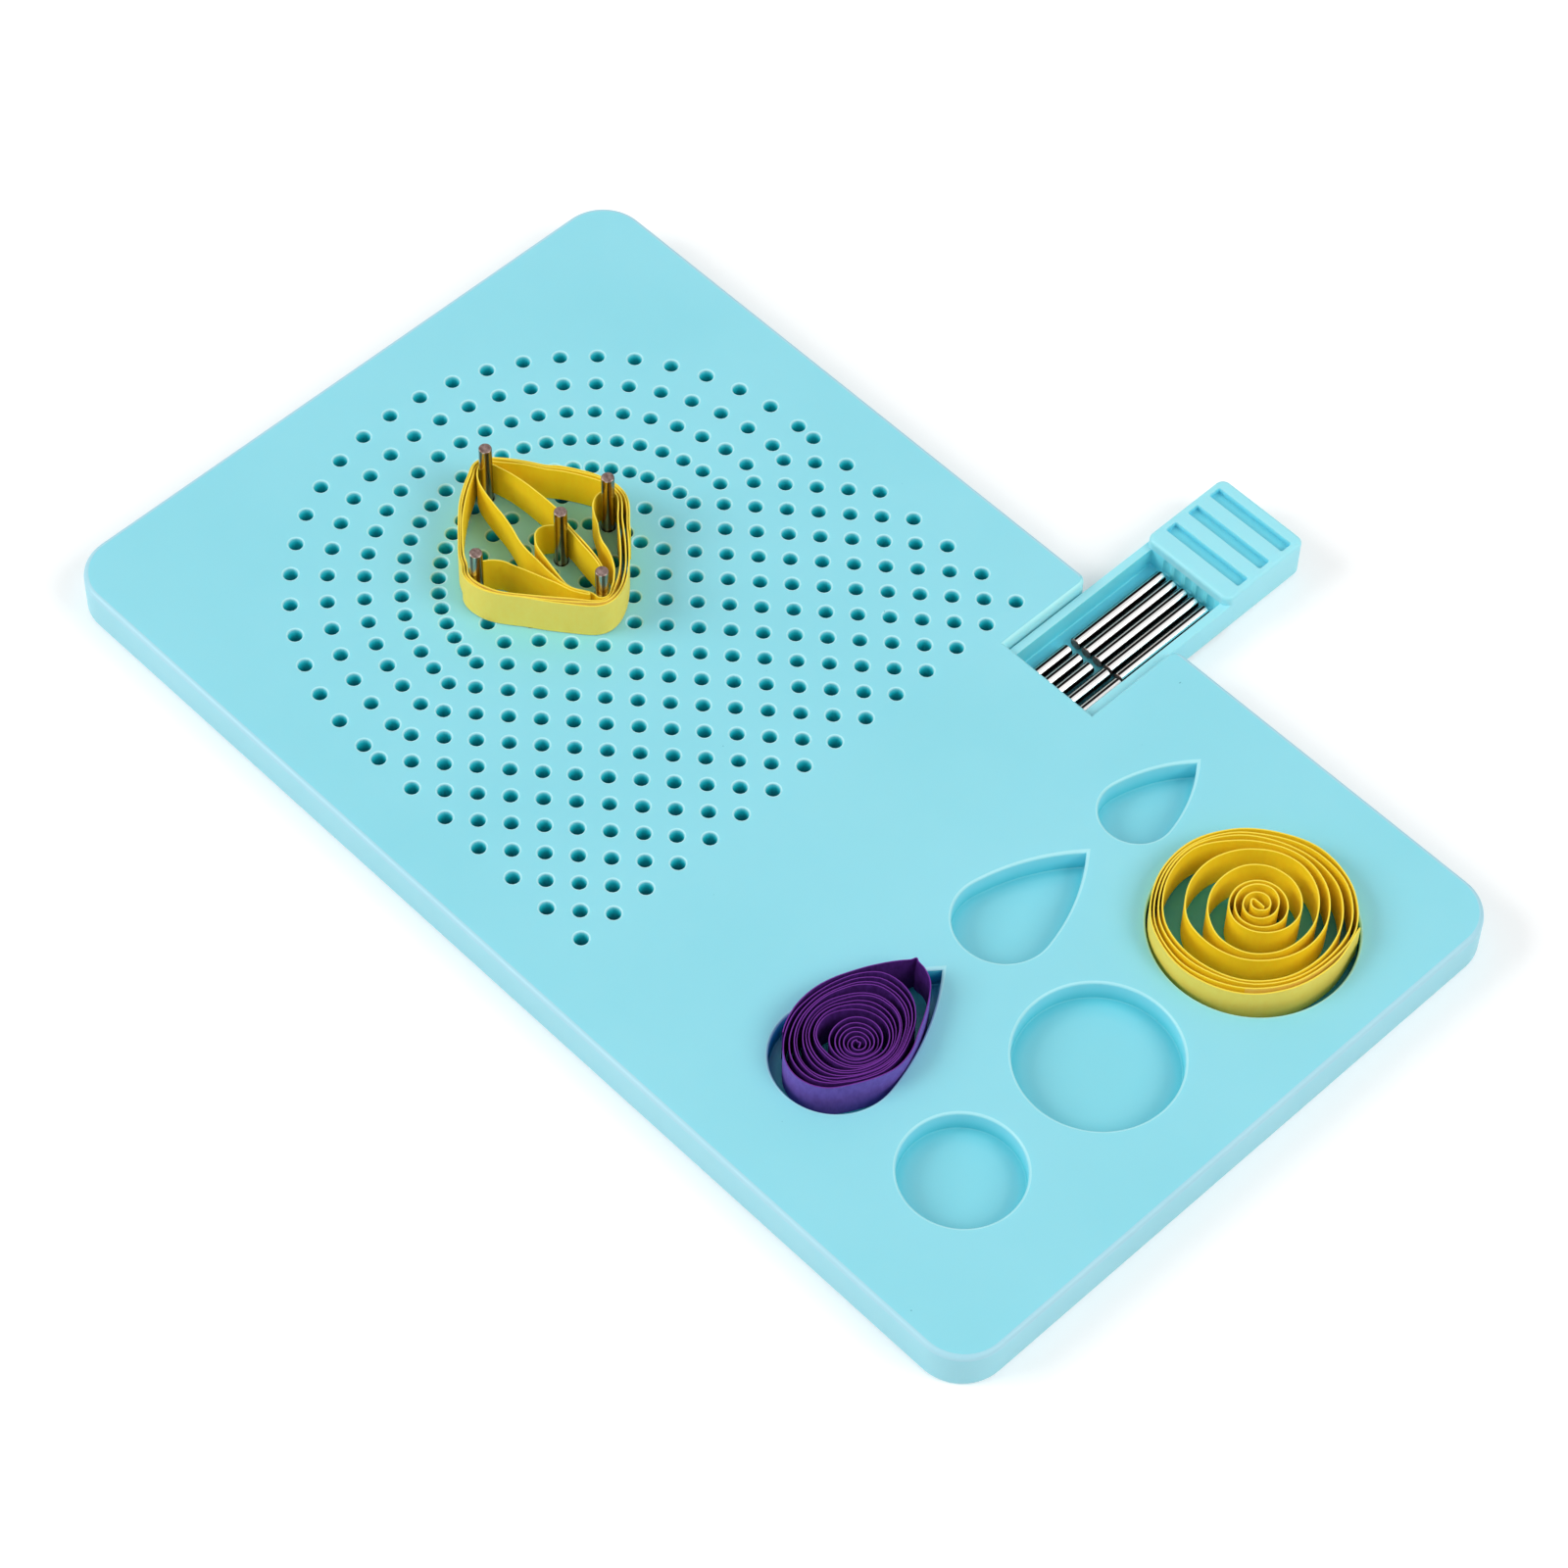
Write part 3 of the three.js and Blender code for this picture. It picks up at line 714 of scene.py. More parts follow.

# %% [markdown]
# ### The round coil
#
# The round coil was wound tight on a slotted tool and then let go in its mould, so it has a
# tight eye, a few open turns and a rim of close turns. Each turn is drawn: its distance
# from the eye is given every thirty degrees, and a smooth curve runs through all of them.

# %% The round coil
COIL_EYE = (57.5, 23.33)
COIL_START = [
    (0.85, -0.1), (0.1, -0.06), (-0.75, -0.12), (-0.8, -0.55), (-0.25, -0.98), (0.45, -0.95),
    (1.0, -0.5), (1.24, 0.0)]
COIL_TURNS = [
    (1.3, 1.32, 1.35, 1.45, 1.55, 1.65, 1.72, 1.8, 1.93, 2.03, 2.1, 2.15),
    (2.2, 2.25, 2.35, 2.5, 2.55, 2.6, 2.68, 2.75, 2.9, 3.15, 3.25, 3.35),
    (3.45, 3.4, 3.3, 3.25, 3.25, 3.25, 3.3, 3.4, 3.65, 3.98, 4.2, 4.4),
    (4.65, 4.9, 5.1, 5.3, 5.4, 5.4, 5.4, 5.7, 6.2, 6.85, 7.1, 6.95),
    (6.75, 6.85, 7.1, 7.4, 7.6, 7.8, 8.1, 8.4, 8.75, 8.35, 8.1, 7.95),
    (8.0, 8.15, 8.3, 8.4, 8.6, 9.2, 10.55, 11.0, 11.4, 11.2, 11.0, 10.55),
    (10.1, 9.8, 9.7, 9.3, 9.2, 9.9, 10.85, 11.35, 11.95, 11.8, 11.45, 10.95),
    (10.6, 10.9, 10.75, 10.1, 9.75, 10.35, 11.12, 11.75, 12.55, 12.65, 12.2, 11.6),
    (11.15, 11.55, 11.3, 10.88, 10.5, 10.8, 11.42, 12.15, 13.0, 13.15, 12.85, 12.25),
    (11.7, 11.95)]
TURN_PLACES = 12
TURN_ANGLE = 360 / TURN_PLACES
COIL_STEPS = 6
COIL_OUTSIDE = 15

coil_points = [np.array(COIL_EYE) + place for place in COIL_START]
distances = [distance for turn in COIL_TURNS for distance in turn][1:]
coil_points += [on_circle(COIL_EYE, distance, TURN_ANGLE * k) for k, distance in enumerate(distances, 1)]
coil_way = smooth_way(coil_points, COIL_STEPS) * MM + np.array([0, board_middle.y])
last_turn = len(coil_way) - COIL_OUTSIDE * COIL_STEPS
round_coil = paper_strip("round_paper_coil", coil_way, MOULD_FLOOR + PAPER_LIFT, last_turn)

# %% [markdown]
# ### The drop coil
#
# The purple coil was let go in the drop mould and pinched at the tip. Seen from its eye, four
# of its turns are drawn in a dozen directions: the eye, the tight turns round it, the
# first loose turn and the last round one. The turns between them follow by blending, and the
# outermost layer, which alone runs into the tip, is given point by point.

# %% The drop coil's way
DROP_EYE = (39.5, -24.3)
DROP_START = [(0.35, -0.25), (0.05, 0.35), (-0.35, 0.2)]
DROP_TURNS = [
    (0, (0.6,) * TURN_PLACES),
    (5, (2.2, 2.6, 3.0, 3.4, 3.7, 3.8, 3.5, 3.1, 2.7, 2.4, 2.2, 2.1)),
    (6, (2.6, 3.2, 3.9, 4.5, 4.8, 5.0, 5.3, 4.8, 3.5, 2.8, 2.6, 2.5)),
    (14, (4.5, 5.0, 6.3, 9.0, 10.4, 9.1, 8.2, 8.1, 8.2, 7.3, 5.4, 4.5))]
DROP_FIRST_ANGLE = 150
DROP_STATIONS = 24
DROP_STEPS = 3
DROP_LEAST_STEP = 0.19
DROP_LOOSE = (5.5, 7, 11.5, 13)
DROP_SHUFFLE = 2.4
DROP_LAST_LAYER = [
    (150, 9.15), (165, 8.65), (180, 8.42), (195, 8.38), (210, 8.35), (225, 8.45), (240, 8.55),
    (255, 8.3), (270, 7.65), (285, 6.75), (300, 5.75), (315, 5.1), (330, 4.8), (345, 4.75),
    (360, 4.9), (375, 5.25), (390, 5.7), (405, 6.3), (420, 7.1), (435, 8.8), (445, 10.6),
    (452, 12.1), (459, 13.0), (464, 13.4), (466, 13.75), (468, 13.2), (473, 12.55), (480, 11.75),
    (490, 10.85), (500, 10.15), (510, 9.7), (522, 9.3), (535, 8.98), (550, 8.78), (565, 8.68),
    (575, 8.68)]


def round_turn(distances, degrees):
    """The distance in a direction, on a closed smooth curve through a turn's twelve distances."""
    k, t = divmod(degrees / TURN_ANGLE, 1)
    return between([distances[(int(k) + step) % TURN_PLACES] for step in (-1, 0, 1, 2)], t)


def shuffled(turn, around):
    """The turn, shifted a little, so that loose layers lie in uneven groups and never touch."""
    step = (around[-1] - around[-2]) / (DROP_TURNS[-1][0] - DROP_TURNS[-2][0])
    room = max(0, 1 - DROP_LEAST_STEP / step) / 2
    return turn + room * np.interp(turn, DROP_LOOSE, (0, 1, 1, 0)) * math.sin(DROP_SHUFFLE * turn)


def drop_points():
    points = [np.array(DROP_EYE) + place for place in DROP_START]
    numbers = [number for number, _ in DROP_TURNS]
    for k in range(numbers[-1] * DROP_STATIONS):
        turn = k / DROP_STATIONS
        degrees = DROP_FIRST_ANGLE + turn * 360
        around = [round_turn(distances, degrees % 360) for _, distances in DROP_TURNS]
        points.append(on_circle(DROP_EYE, np.interp(shuffled(turn, around), numbers, around), degrees))
    return points + [on_circle(DROP_EYE, distance, degrees) for degrees, distance in DROP_LAST_LAYER]


drop_way = smooth_way(drop_points(), DROP_STEPS) * MM + np.array([0, board_middle.y])
print("the drop coil's way has", len(drop_way), "stations")

# %% [markdown]
# Above the board the coil leans out over the mould's rim, but inside the mould its layers have
# to keep clear of the wall. So the foot of the strip is the same way, drawn in towards the
# mould's middle wherever the outermost layer would touch.

# %% The drop coil's foot
DROP_SECTORS = 72
WALL_ROOM = 0.2 * MM


def seated(way, size):
    """The way drawn in, direction by direction, to leave room at the wall of a drop mould."""
    centre = np.array(drop_centre(size).xy)
    length, _ = DROPS[size]
    outline = drop_outline(length)
    offset = way - centre
    distance = np.linalg.norm(offset, axis=1)
    turned = np.arctan2(offset[:, 1], offset[:, 0])
    place = (turned / (2 * math.pi) * DROP_SECTORS) % DROP_SECTORS
    allowed = [outline(turn) * length * DROP_WIDTH_SHARE / 2 - WALL_ROOM for turn in turned]
    fits = np.array(allowed) / distance
    shares = []
    for sector in range(DROP_SECTORS):
        off = (place - sector + DROP_SECTORS / 2) % DROP_SECTORS - DROP_SECTORS / 2
        shares.append(min(1, fits[np.abs(off) < 1].min()))
    shares.append(shares[0])
    return centre + offset * np.interp(place, np.arange(DROP_SECTORS + 1), shares)[:, None]


last_layer = len(drop_way) - DROP_STEPS * len(DROP_LAST_LAYER)
drop_coil = paper_strip(
    "drop_paper_coil", drop_way, MOULD_FLOOR + PAPER_LIFT, last_layer, seated(drop_way, "large"),
    waver=0.15 * MM, thickness=0.13 * MM)

# %% [markdown]
# ### The woven strip
#
# The yellow strip on the pins is wound by hand. It starts beside the low pin, folds twice
# behind the near pin, loops round the middle one, and then runs round all of them three times,
# up to its loose end. Its way is a list of places beside the pins, in millimetres from the centre
# of the rings.

# %% The woven strip
WOVEN_START = [
    (-7.72, -12), (-7.78, -11.2), (-7.6, -10.4), (-7.2, -9.6), (-6.6, -8.85), (-5.7, -8.15),
    (-4.4, -7.65), (-3, -7.05), (-1, -6.35), (1, -5.65), (2.4, -5.32), (3.4, -4.98), (4.3, -4.5),
    (4.8, -4.2), (4.98, -4.02), (4.75, -3.98), (4.2, -4.24), (3.3, -4.78), (2.3, -5.14), (1, -5.32),
    (-1, -5.27), (-3, -5.05), (-5.4, -4.85), (-7, -4.55), (-9, -3.9), (-11, -3.4), (-13, -3.05),
    (-15, -2.65), (-16.6, -2.2), (-17.8, -1.6), (-18.5, -0.95), (-18.9, -0.35), (-18.93, 0.2),
    (-18.6, 0.8), (-18, 1.1), (-17.2, 1.3), (-16.2, 1.55), (-15, 1.75), (-13, 1.9), (-11, 1.93),
    (-9, 1.95), (-7, 1.9), (-5.6, 1.6), (-4.6, 1.35), (-3.4, 1.2), (-2, 1.1), (0, 0.8), (1.4, 0.5),
    (2.6, 0.12), (3.6, -0.3), (4.4, -0.82), (4.9, -1.3), (4.98, -1.55), (4.72, -1.45), (4.2, -1.02),
    (3.4, -0.55), (2.4, -0.14), (1, 0.2), (-1, 0.5), (-2.4, 0.76), (-3.6, 0.96), (-4.5, 1),
    (-5.2, 0.7), (-5.9, 0.05), (-6.45, -0.65), (-6.7, -1.3), (-6.65, -2), (-6.2, -2.7),
    (-5.2, -3.42), (-4, -3.82), (-2, -4.25), (0, -4.66), (1.6, -4.92), (2.5, -4.84), (3.2, -4.56),
    (4, -4.08), (4.7, -3.68), (5.3, -3.52), (5.9, -3.48), (6.35, -3.15), (6.55, -2.6), (6.4, -2),
    (6, -1.4), (5.5, -0.6), (4.9, 0.05), (4.2, 0.75), (3, 1.5), (1.6, 2.1), (0.2, 2.5), (-1, 3.1),
    (-2.4, 4.1), (-3.6, 4.75), (-4.8, 5.55), (-5.5, 6.5), (-5.75, 7.4), (-5.6, 8.2), (-5.1, 8.75),
    (-4.4, 8.95), (-3.7, 8.7)]
WOVEN_LAPS = [
    (-2.8, 7.95), (-1.6, 6.75), (-0.2, 5.6), (1.2, 4.5), (2.6, 3.3), (4, 1.95), (5.2, 0.5),
    (6.1, -0.9), (6.65, -1.9), (6.75, -2.7), (6.55, -3.5), (6, -4.2), (5.2, -4.95), (4, -5.95),
    (2, -7.7), (0, -9.35), (-1.6, -10.65), (-3, -11.65), (-4.2, -12.2), (-5.4, -12.6),
    (-6.6, -12.72), (-7.6, -12.4), (-8.4, -11.75), (-10, -10.9), (-12, -9.25), (-14, -7.45),
    (-15.75, -5.5), (-17.2, -3.6), (-18.3, -1.9), (-18.97, -1), (-19.17, -0.2), (-19.08, 0.5),
    (-18.57, 1.22), (-17.6, 2), (-15.4, 3.78), (-13, 5.28), (-11.2, 6.68), (-9, 7.98), (-7.2, 8.83),
    (-5.8, 9.25), (-4.6, 9.3), (-3.5, 9), (-2.45, 8.25), (-1.1, 7), (0.35, 5.9), (1.8, 4.8),
    (3.25, 3.55), (4.7, 2.15), (5.8, 0.8), (6.65, -0.5), (7.1, -1.8), (7.2, -2.9), (6.85, -3.9),
    (5.95, -4.95), (4.25, -6.5), (2, -8.25), (0, -9.75), (-1.6, -11.05), (-3, -12.05),
    (-4.2, -12.65), (-5.4, -12.95), (-6.7, -13), (-7.8, -12.65), (-8.7, -12), (-10.2, -11.15),
    (-12, -9.6), (-14, -7.8), (-16, -5.8), (-17.5, -3.8), (-18.6, -2), (-19.27, -0.9), (-19.43, 0),
    (-19.2, 0.9), (-18.25, 1.97), (-16.8, 3.2), (-15, 4.48), (-13.2, 5.58), (-11.9, 6.68),
    (-10, 7.83), (-8.2, 8.78), (-6.8, 9.28), (-5.4, 9.62), (-4.2, 9.6), (-3.1, 9.3), (-2.1, 8.7),
    (-1.1, 7.85), (-0.1, 6.9), (1.0, 6), (2.15, 5.05), (3.4, 3.95), (4.65, 2.75), (5.75, 1.5),
    (6.65, 0.2), (7.3, -1.2), (7.55, -2.6), (7.3, -3.9), (6.45, -5.1), (4.5, -6.75), (2.13, -8.62),
    (0.13, -10.02), (-1.5, -11.3), (-2.9, -12.28), (-4.15, -12.88), (-5.4, -13.18), (-6.75, -13.23),
    (-7.95, -12.87), (-8.87, -12.17), (-10.35, -11.34), (-12.15, -9.78), (-14.15, -7.98),
    (-16.18, -5.95), (-17.7, -3.93), (-18.82, -2.1), (-19.5, -0.95), (-19.66, 0), (-19.42, 1),
    (-18.4, 2.15), (-16.95, 3.4), (-15.13, 4.68), (-13.33, 5.78), (-12.03, 6.88), (-10.1, 8.05),
    (-8.3, 9), (-6.87, 9.5), (-5.4, 9.85), (-4.1, 9.83), (-2.95, 9.5), (-1.9, 8.87), (-0.9, 8.02),
    (0.1, 7.07), (1.2, 6.17)]
WOVEN_STEPS = 5

woven_way = smooth_way(WOVEN_START + WOVEN_LAPS, WOVEN_STEPS) * MM + np.array(RING_CENTRE.xy)
laps_from = len(WOVEN_START) * WOVEN_STEPS
woven_strip = paper_strip("woven_paper_strip", woven_way, top + PAPER_LIFT, laps_from)

# %% [markdown]
# ## Finishes
#
# A finish is a chain of nodes on the piece's own coordinates, so it stays on the piece from any
# side. The class below starts a material with its shader and has a short way to add each kind of
# node, and one function turns a colour as a screen shows it into the shader's own numbers.

# %% Helpers for finishes
def colour(shown):
    """Red, green and blue as a screen shows them, up to 255, made linear as a shader wants them."""
    def linear(value):
        value /= 255
        return value / 12.92 if value <= 0.04045 else ((value + 0.055) / 1.055) ** 2.4
    return (*(linear(value) for value in shown), 1.0)


class Finish:
    """A material and short ways to add nodes to it."""

    def __init__(self, name):
        self.material = bpy.data.materials.new(name)
        self.material.use_nodes = True
        self.nodes = self.material.node_tree.nodes
        self.links = self.material.node_tree.links
        self.shader = self.nodes["Principled BSDF"]
        coordinates = self.add("ShaderNodeTexCoord")
        self.place = coordinates.outputs["Object"]
        self.normal = coordinates.outputs["Normal"]

    def add(self, kind, **values):
        node = self.nodes.new(kind)
        for key, value in values.items():
            setattr(node, key, value)
        return node

    def link(self, start, end):
        self.links.new(start, end)

    def put(self, socket, value):
        """Sets a socket to a plain value or links it to a node's output."""
        if isinstance(value, bpy.types.NodeSocket):
            self.link(value, socket)
        else:
            socket.default_value = value

    def math(self, operation, *values):
        node = self.add("ShaderNodeMath", operation=operation)
        for socket, value in zip(node.inputs, values):
            self.put(socket, value)
        return node.outputs[0]

    def parts(self, vector):
        """The x, y and z of a vector."""
        node = self.add("ShaderNodeSeparateXYZ")
        self.link(vector, node.inputs[0])
        return node.outputs

    def stretched(self, scale):
        """The piece's coordinates, multiplied along each axis."""
        mapping = self.add("ShaderNodeMapping")
        mapping.inputs["Scale"].default_value = scale
        self.link(self.place, mapping.inputs["Vector"])
        return mapping.outputs["Vector"]

    def noise(self, scale, detail=2.0, vector=None, roughness=0.5):
        node = self.add("ShaderNodeTexNoise")
        node.inputs["Scale"].default_value = scale
        node.inputs["Detail"].default_value = detail
        node.inputs["Roughness"].default_value = roughness
        self.link(vector or self.place, node.inputs["Vector"])
        return node.outputs["Fac"]

    def ramp(self, value, *stops):
        """stops are (position, tone) pairs. A tone is a shown colour, or one number for a grey."""
        node = self.add("ShaderNodeValToRGB")
        while len(node.color_ramp.elements) < len(stops):
            node.color_ramp.elements.new(0.5)
        for element, (position, tone) in zip(node.color_ramp.elements, stops):
            element.position = position
            element.color = colour(tone) if isinstance(tone, tuple) else (tone, tone, tone, 1.0)
        self.link(value, node.inputs["Fac"])
        return node.outputs["Color"]

    def mix(self, share, first, second, blend="MIX"):
        node = self.add("ShaderNodeMix", data_type="RGBA", blend_type=blend)
        for socket, value in (("Factor_Float", share), ("A_Color", first), ("B_Color", second)):
            found = next(item for item in node.inputs if item.identifier == socket)
            self.put(found, value)
        return next(item for item in node.outputs if item.identifier == "Result_Color")

    def bump(self, height, strength, distance):
        node = self.add("ShaderNodeBump")
        node.inputs["Strength"].default_value = strength
        node.inputs["Distance"].default_value = distance
        self.link(height, node.inputs["Height"])
        self.link(node.outputs["Normal"], self.shader.inputs["Normal"])


print("finish helpers ready")

# %% [markdown]
# ### Moulded plastic
#
# The board and the drawer are satin, slightly milky plastic. Its colour is almost even, with a
# very faint cloudiness and a few specks of dust, and its gloss varies a little with the texture
# of the mould. Copies of this finish carry painted shade in the recesses, a painted highlight on
# the thin rounded rims, and painted light on the outer sides and one wall of the window. The
# drawer differs a little in tone as well.

# %% Moulded plastic
CLOUD_SCALE = 45
SPECK_SCALE = 900
GLOSS_SCALE = 260
GRAIN_SCALE = 3200
SPECK_TONE = (96, 178, 196)
PLASTIC_IOR = 1.49
PLASTIC_GLOW = 0.4
GLOW_RADIUS = (0.6, 1.0, 1.1)
GLOW_REACH = 1.2 * MM


def moulded(finish, tone, glow=PLASTIC_GLOW):
    """The speckled satin surface that all the plastic has, over a colour. glow lets light through."""
    dust = finish.noise(SPECK_SCALE, detail=2, roughness=0.7)
    specks = finish.ramp(dust, (0.79, 0.0), (0.815, 1.0))
    finish.link(finish.mix(specks, tone, colour(SPECK_TONE)), finish.shader.inputs["Base Color"])
    gloss = finish.ramp(finish.noise(GLOSS_SCALE, detail=4), (0.3, 0.36), (0.75, 0.46))
    finish.link(gloss, finish.shader.inputs["Roughness"])
    finish.shader.inputs["IOR"].default_value = PLASTIC_IOR
    finish.shader.inputs["Subsurface Weight"].default_value = glow
    finish.shader.inputs["Subsurface Radius"].default_value = GLOW_RADIUS
    finish.shader.inputs["Subsurface Scale"].default_value = GLOW_REACH
    finish.bump(finish.noise(GRAIN_SCALE, detail=3), strength=0.12, distance=0.02 * MM)
    return finish.material


def plain_plastic(name, dark, light, glow=PLASTIC_GLOW):
    finish = Finish(name)
    clouds = finish.noise(CLOUD_SCALE, detail=3)
    return moulded(finish, finish.ramp(clouds, (0.3, dark), (0.7, light)), glow)


plastic = plain_plastic("moulded plastic", (143, 221, 234), (149, 224, 237))
drawer_plastic = plain_plastic("moulded plastic, drawer", (158, 230, 242), (164, 233, 244))
# The next copies carry painted light: the sides and the window wall in the tones that they show under
# the lamps, and the rims lighter as a painted highlight.
side_plastic_painted_light = plain_plastic("moulded plastic, sides, painted light", (151, 217, 230), (157, 220, 233))
window_wall_painted_light = plain_plastic("moulded plastic, window wall, painted light", (176, 246, 252), (182, 248, 254))
mould_rim_painted_highlight = plain_plastic("moulded plastic, mould rims, painted highlight", (168, 233, 243), (174, 235, 244), glow=0)
hole_rim_painted_highlight = plain_plastic("moulded plastic, hole rims, painted highlight", (176, 236, 245), (184, 239, 247), glow=0)
side_rim_painted_highlight = plain_plastic("moulded plastic, outer rims, painted highlight", (166, 218, 233), (172, 221, 235), glow=0)
print("plain plastic ready")

# %% [markdown]
# In a recess, shade is painted into the colour: it deepens towards the floor, and a hole gets darker
# the further down one looks. The height of the place, from the piece's own coordinates, runs through
# a ramp for that. The floors, which face up, are painted lighter than the walls. Where a floor comes
# near its wall it takes the wall's painted shade, by a number that is stored in the points of the mesh.

# %% Plastic with painted shade inside recesses and holes
FLOOR_FACING = (0.9, 0.99)


def plastic_with_painted_shade(name, floor_tone, *painted_wall_shades):
    """painted_wall_shades are (depth below the upper face in mm, colour) pairs of painted shade."""
    finish = Finish(name)
    deepest, deepest_painted_shade = painted_wall_shades[-1]
    depth = finish.math("SUBTRACT", top, finish.parts(finish.place)["Z"])
    share = finish.math("MULTIPLY", depth, 1 / (deepest * MM))
    wall = finish.ramp(share, *((place / deepest, tone) for place, tone in painted_wall_shades))
    painted_shade_closeness = finish.add("ShaderNodeAttribute", attribute_name="painted_shade_near_wall").outputs["Fac"]
    floor = finish.mix(painted_shade_closeness, colour(floor_tone), colour(deepest_painted_shade))
    upward_painted_light = finish.ramp(finish.parts(finish.normal)["Z"], *zip(FLOOR_FACING, (0.0, 1.0)))
    return moulded(finish, finish.mix(upward_painted_light, wall, floor))


recess_painted_shade = plastic_with_painted_shade(
    "moulded plastic, recesses, painted shade", (136, 218, 231),
    (0.3, (152, 228, 240)), (1.6, (130, 222, 236)), (2.9, (94, 208, 223)))
# The two moulds where the coils lie get deeper tones still, as painted shade of the coils.
filled_mould_painted_shade = plastic_with_painted_shade(
    "moulded plastic, filled moulds, painted shade", (70, 194, 212),
    (0.4, (84, 210, 228)), (1.6, (0, 172, 204)), (2.9, (0, 134, 170)))
tray_painted_shade = plastic_with_painted_shade(
    "moulded plastic, tray, painted shade", (114, 224, 242), (1.4, (136, 238, 254)), (4.3, (112, 234, 254)))
groove_painted_shade = plastic_with_painted_shade(
    "moulded plastic, grip grooves, painted shade", (116, 216, 232), (0.2, (150, 232, 245)), (0.9, (100, 210, 228)))
hole_painted_shade = plastic_with_painted_shade(
    "moulded plastic, holes, painted shade", (0, 178, 190),
    (0.2, (130, 230, 242)), (0.8, (40, 216, 226)), (2.6, (0, 182, 194)))
print("deep plastic ready")

# %% [markdown]
# ### Drawn steel
#
# The pins are bright wire. A mirror-bright cylinder shows its surroundings as long bands, light
# beside nearly black, so the finish paints such reflections into the colour round the pin by the
# direction that its surface faces, breaks them up with the fine lines left by drawing, and keeps the
# cut ends dull. The upright pins show more of the board and the paper, so their painted reflections
# are softer and browner.

# %% Drawn steel with painted reflections
LYING_PAINTED_REFLECTIONS = [
    (-150, (60, 52, 48)), (-100, (30, 26, 24)), (-45, (40, 34, 31)), (-31, (226, 220, 214)),
    (-25, (226, 220, 214)), (-20, (22, 18, 17)), (1, (22, 18, 17)), (6, (246, 244, 242)),
    (44, (250, 249, 248)), (50, (26, 21, 19)), (84, (40, 34, 31)), (92, (170, 160, 152)),
    (100, (52, 45, 40)), (150, (110, 100, 94))]
STANDING_PAINTED_REFLECTIONS = [
    (-150, (104, 92, 82)), (-124, (150, 144, 138)), (-112, (216, 218, 216)), (-100, (186, 180, 172)),
    (-92, (108, 84, 64)), (-76, (134, 106, 80)), (-62, (206, 188, 166)), (-50, (220, 206, 188)),
    (-38, (112, 86, 64)), (-18, (128, 100, 74)), (2, (196, 182, 164)), (20, (128, 110, 92)),
    (60, (84, 70, 60)), (90, (206, 198, 188)), (112, (92, 78, 68)), (140, (196, 188, 180))]
DRAWN_LINE_SCALE = 2600
LINE_STRETCH = 0.02
END_SCALE = 1800
END_TONES = ((104, 84, 78), (160, 138, 132))
END_ROUGHNESS = (0.5, 0.5, 0.5, 1.0)


def drawn_steel(name, along_y, painted_reflections):
    """painted_reflections are (direction round the wire in degrees, colour) pairs."""
    finish = Finish(name)
    facing = finish.parts(finish.normal)
    across, up, along = ("X", "Z", "Y") if along_y else ("Y", "X", "Z")
    # The colour round the wire is a painted reflection, set by the direction that the surface faces.
    turned = finish.math("ARCTAN2", facing[across], facing[up])
    share = finish.math("MULTIPLY_ADD", turned, 0.5 / math.pi, 0.5)
    around = finish.ramp(share, *((0.5 + degrees / 360, tone) for degrees, tone in painted_reflections))
    scale = (1.0, LINE_STRETCH, 1.0) if along_y else (1.0, 1.0, LINE_STRETCH)
    lines = finish.noise(DRAWN_LINE_SCALE, detail=2, vector=finish.stretched(scale))
    drawn = finish.ramp(lines, (0.3, 0.72), (0.6, 1.0))
    wire = finish.mix(1.0, around, drawn, "MULTIPLY")
    cut_end = finish.ramp(finish.math("ABSOLUTE", facing[along]), (0.55, 0.0), (0.75, 1.0))
    ends = finish.ramp(finish.noise(END_SCALE, detail=3), *zip((0.35, 0.7), END_TONES))
    finish.link(finish.mix(cut_end, wire, ends), finish.shader.inputs["Base Color"])
    rough = finish.mix(cut_end, finish.ramp(lines, (0.3, 0.28), (0.7, 0.15)), END_ROUGHNESS)
    finish.link(rough, finish.shader.inputs["Roughness"])
    finish.shader.inputs["Metallic"].default_value = 1.0
    finish.bump(lines, strength=0.12, distance=0.02 * MM)
    return finish.material


standing_steel = drawn_steel("drawn steel, painted reflections, upright", along_y=False, painted_reflections=STANDING_PAINTED_REFLECTIONS)
lying_steel = drawn_steel("drawn steel, painted reflections, lying", along_y=True, painted_reflections=LYING_PAINTED_REFLECTIONS)
print("steel ready")

# %% [markdown]
# ### Dyed paper
#
# Quilling paper is dyed through. Its fibres give it a fine mottle, and its upper cut edges get
# a lighter colour than its faces as a painted highlight. Some light passes through the paper, and on
# the yellow one the ends of the fibres catch a little more of it as a soft sheen.

# %% Dyed paper
FIBRE_SCALE = 1500
FIBRE_STRETCH = (1.0, 1.0, 0.5)
PAPER_ROUGHNESS = 0.72
NAP_ROUGHNESS = 0.6
PAPER_REACH = 0.3 * MM


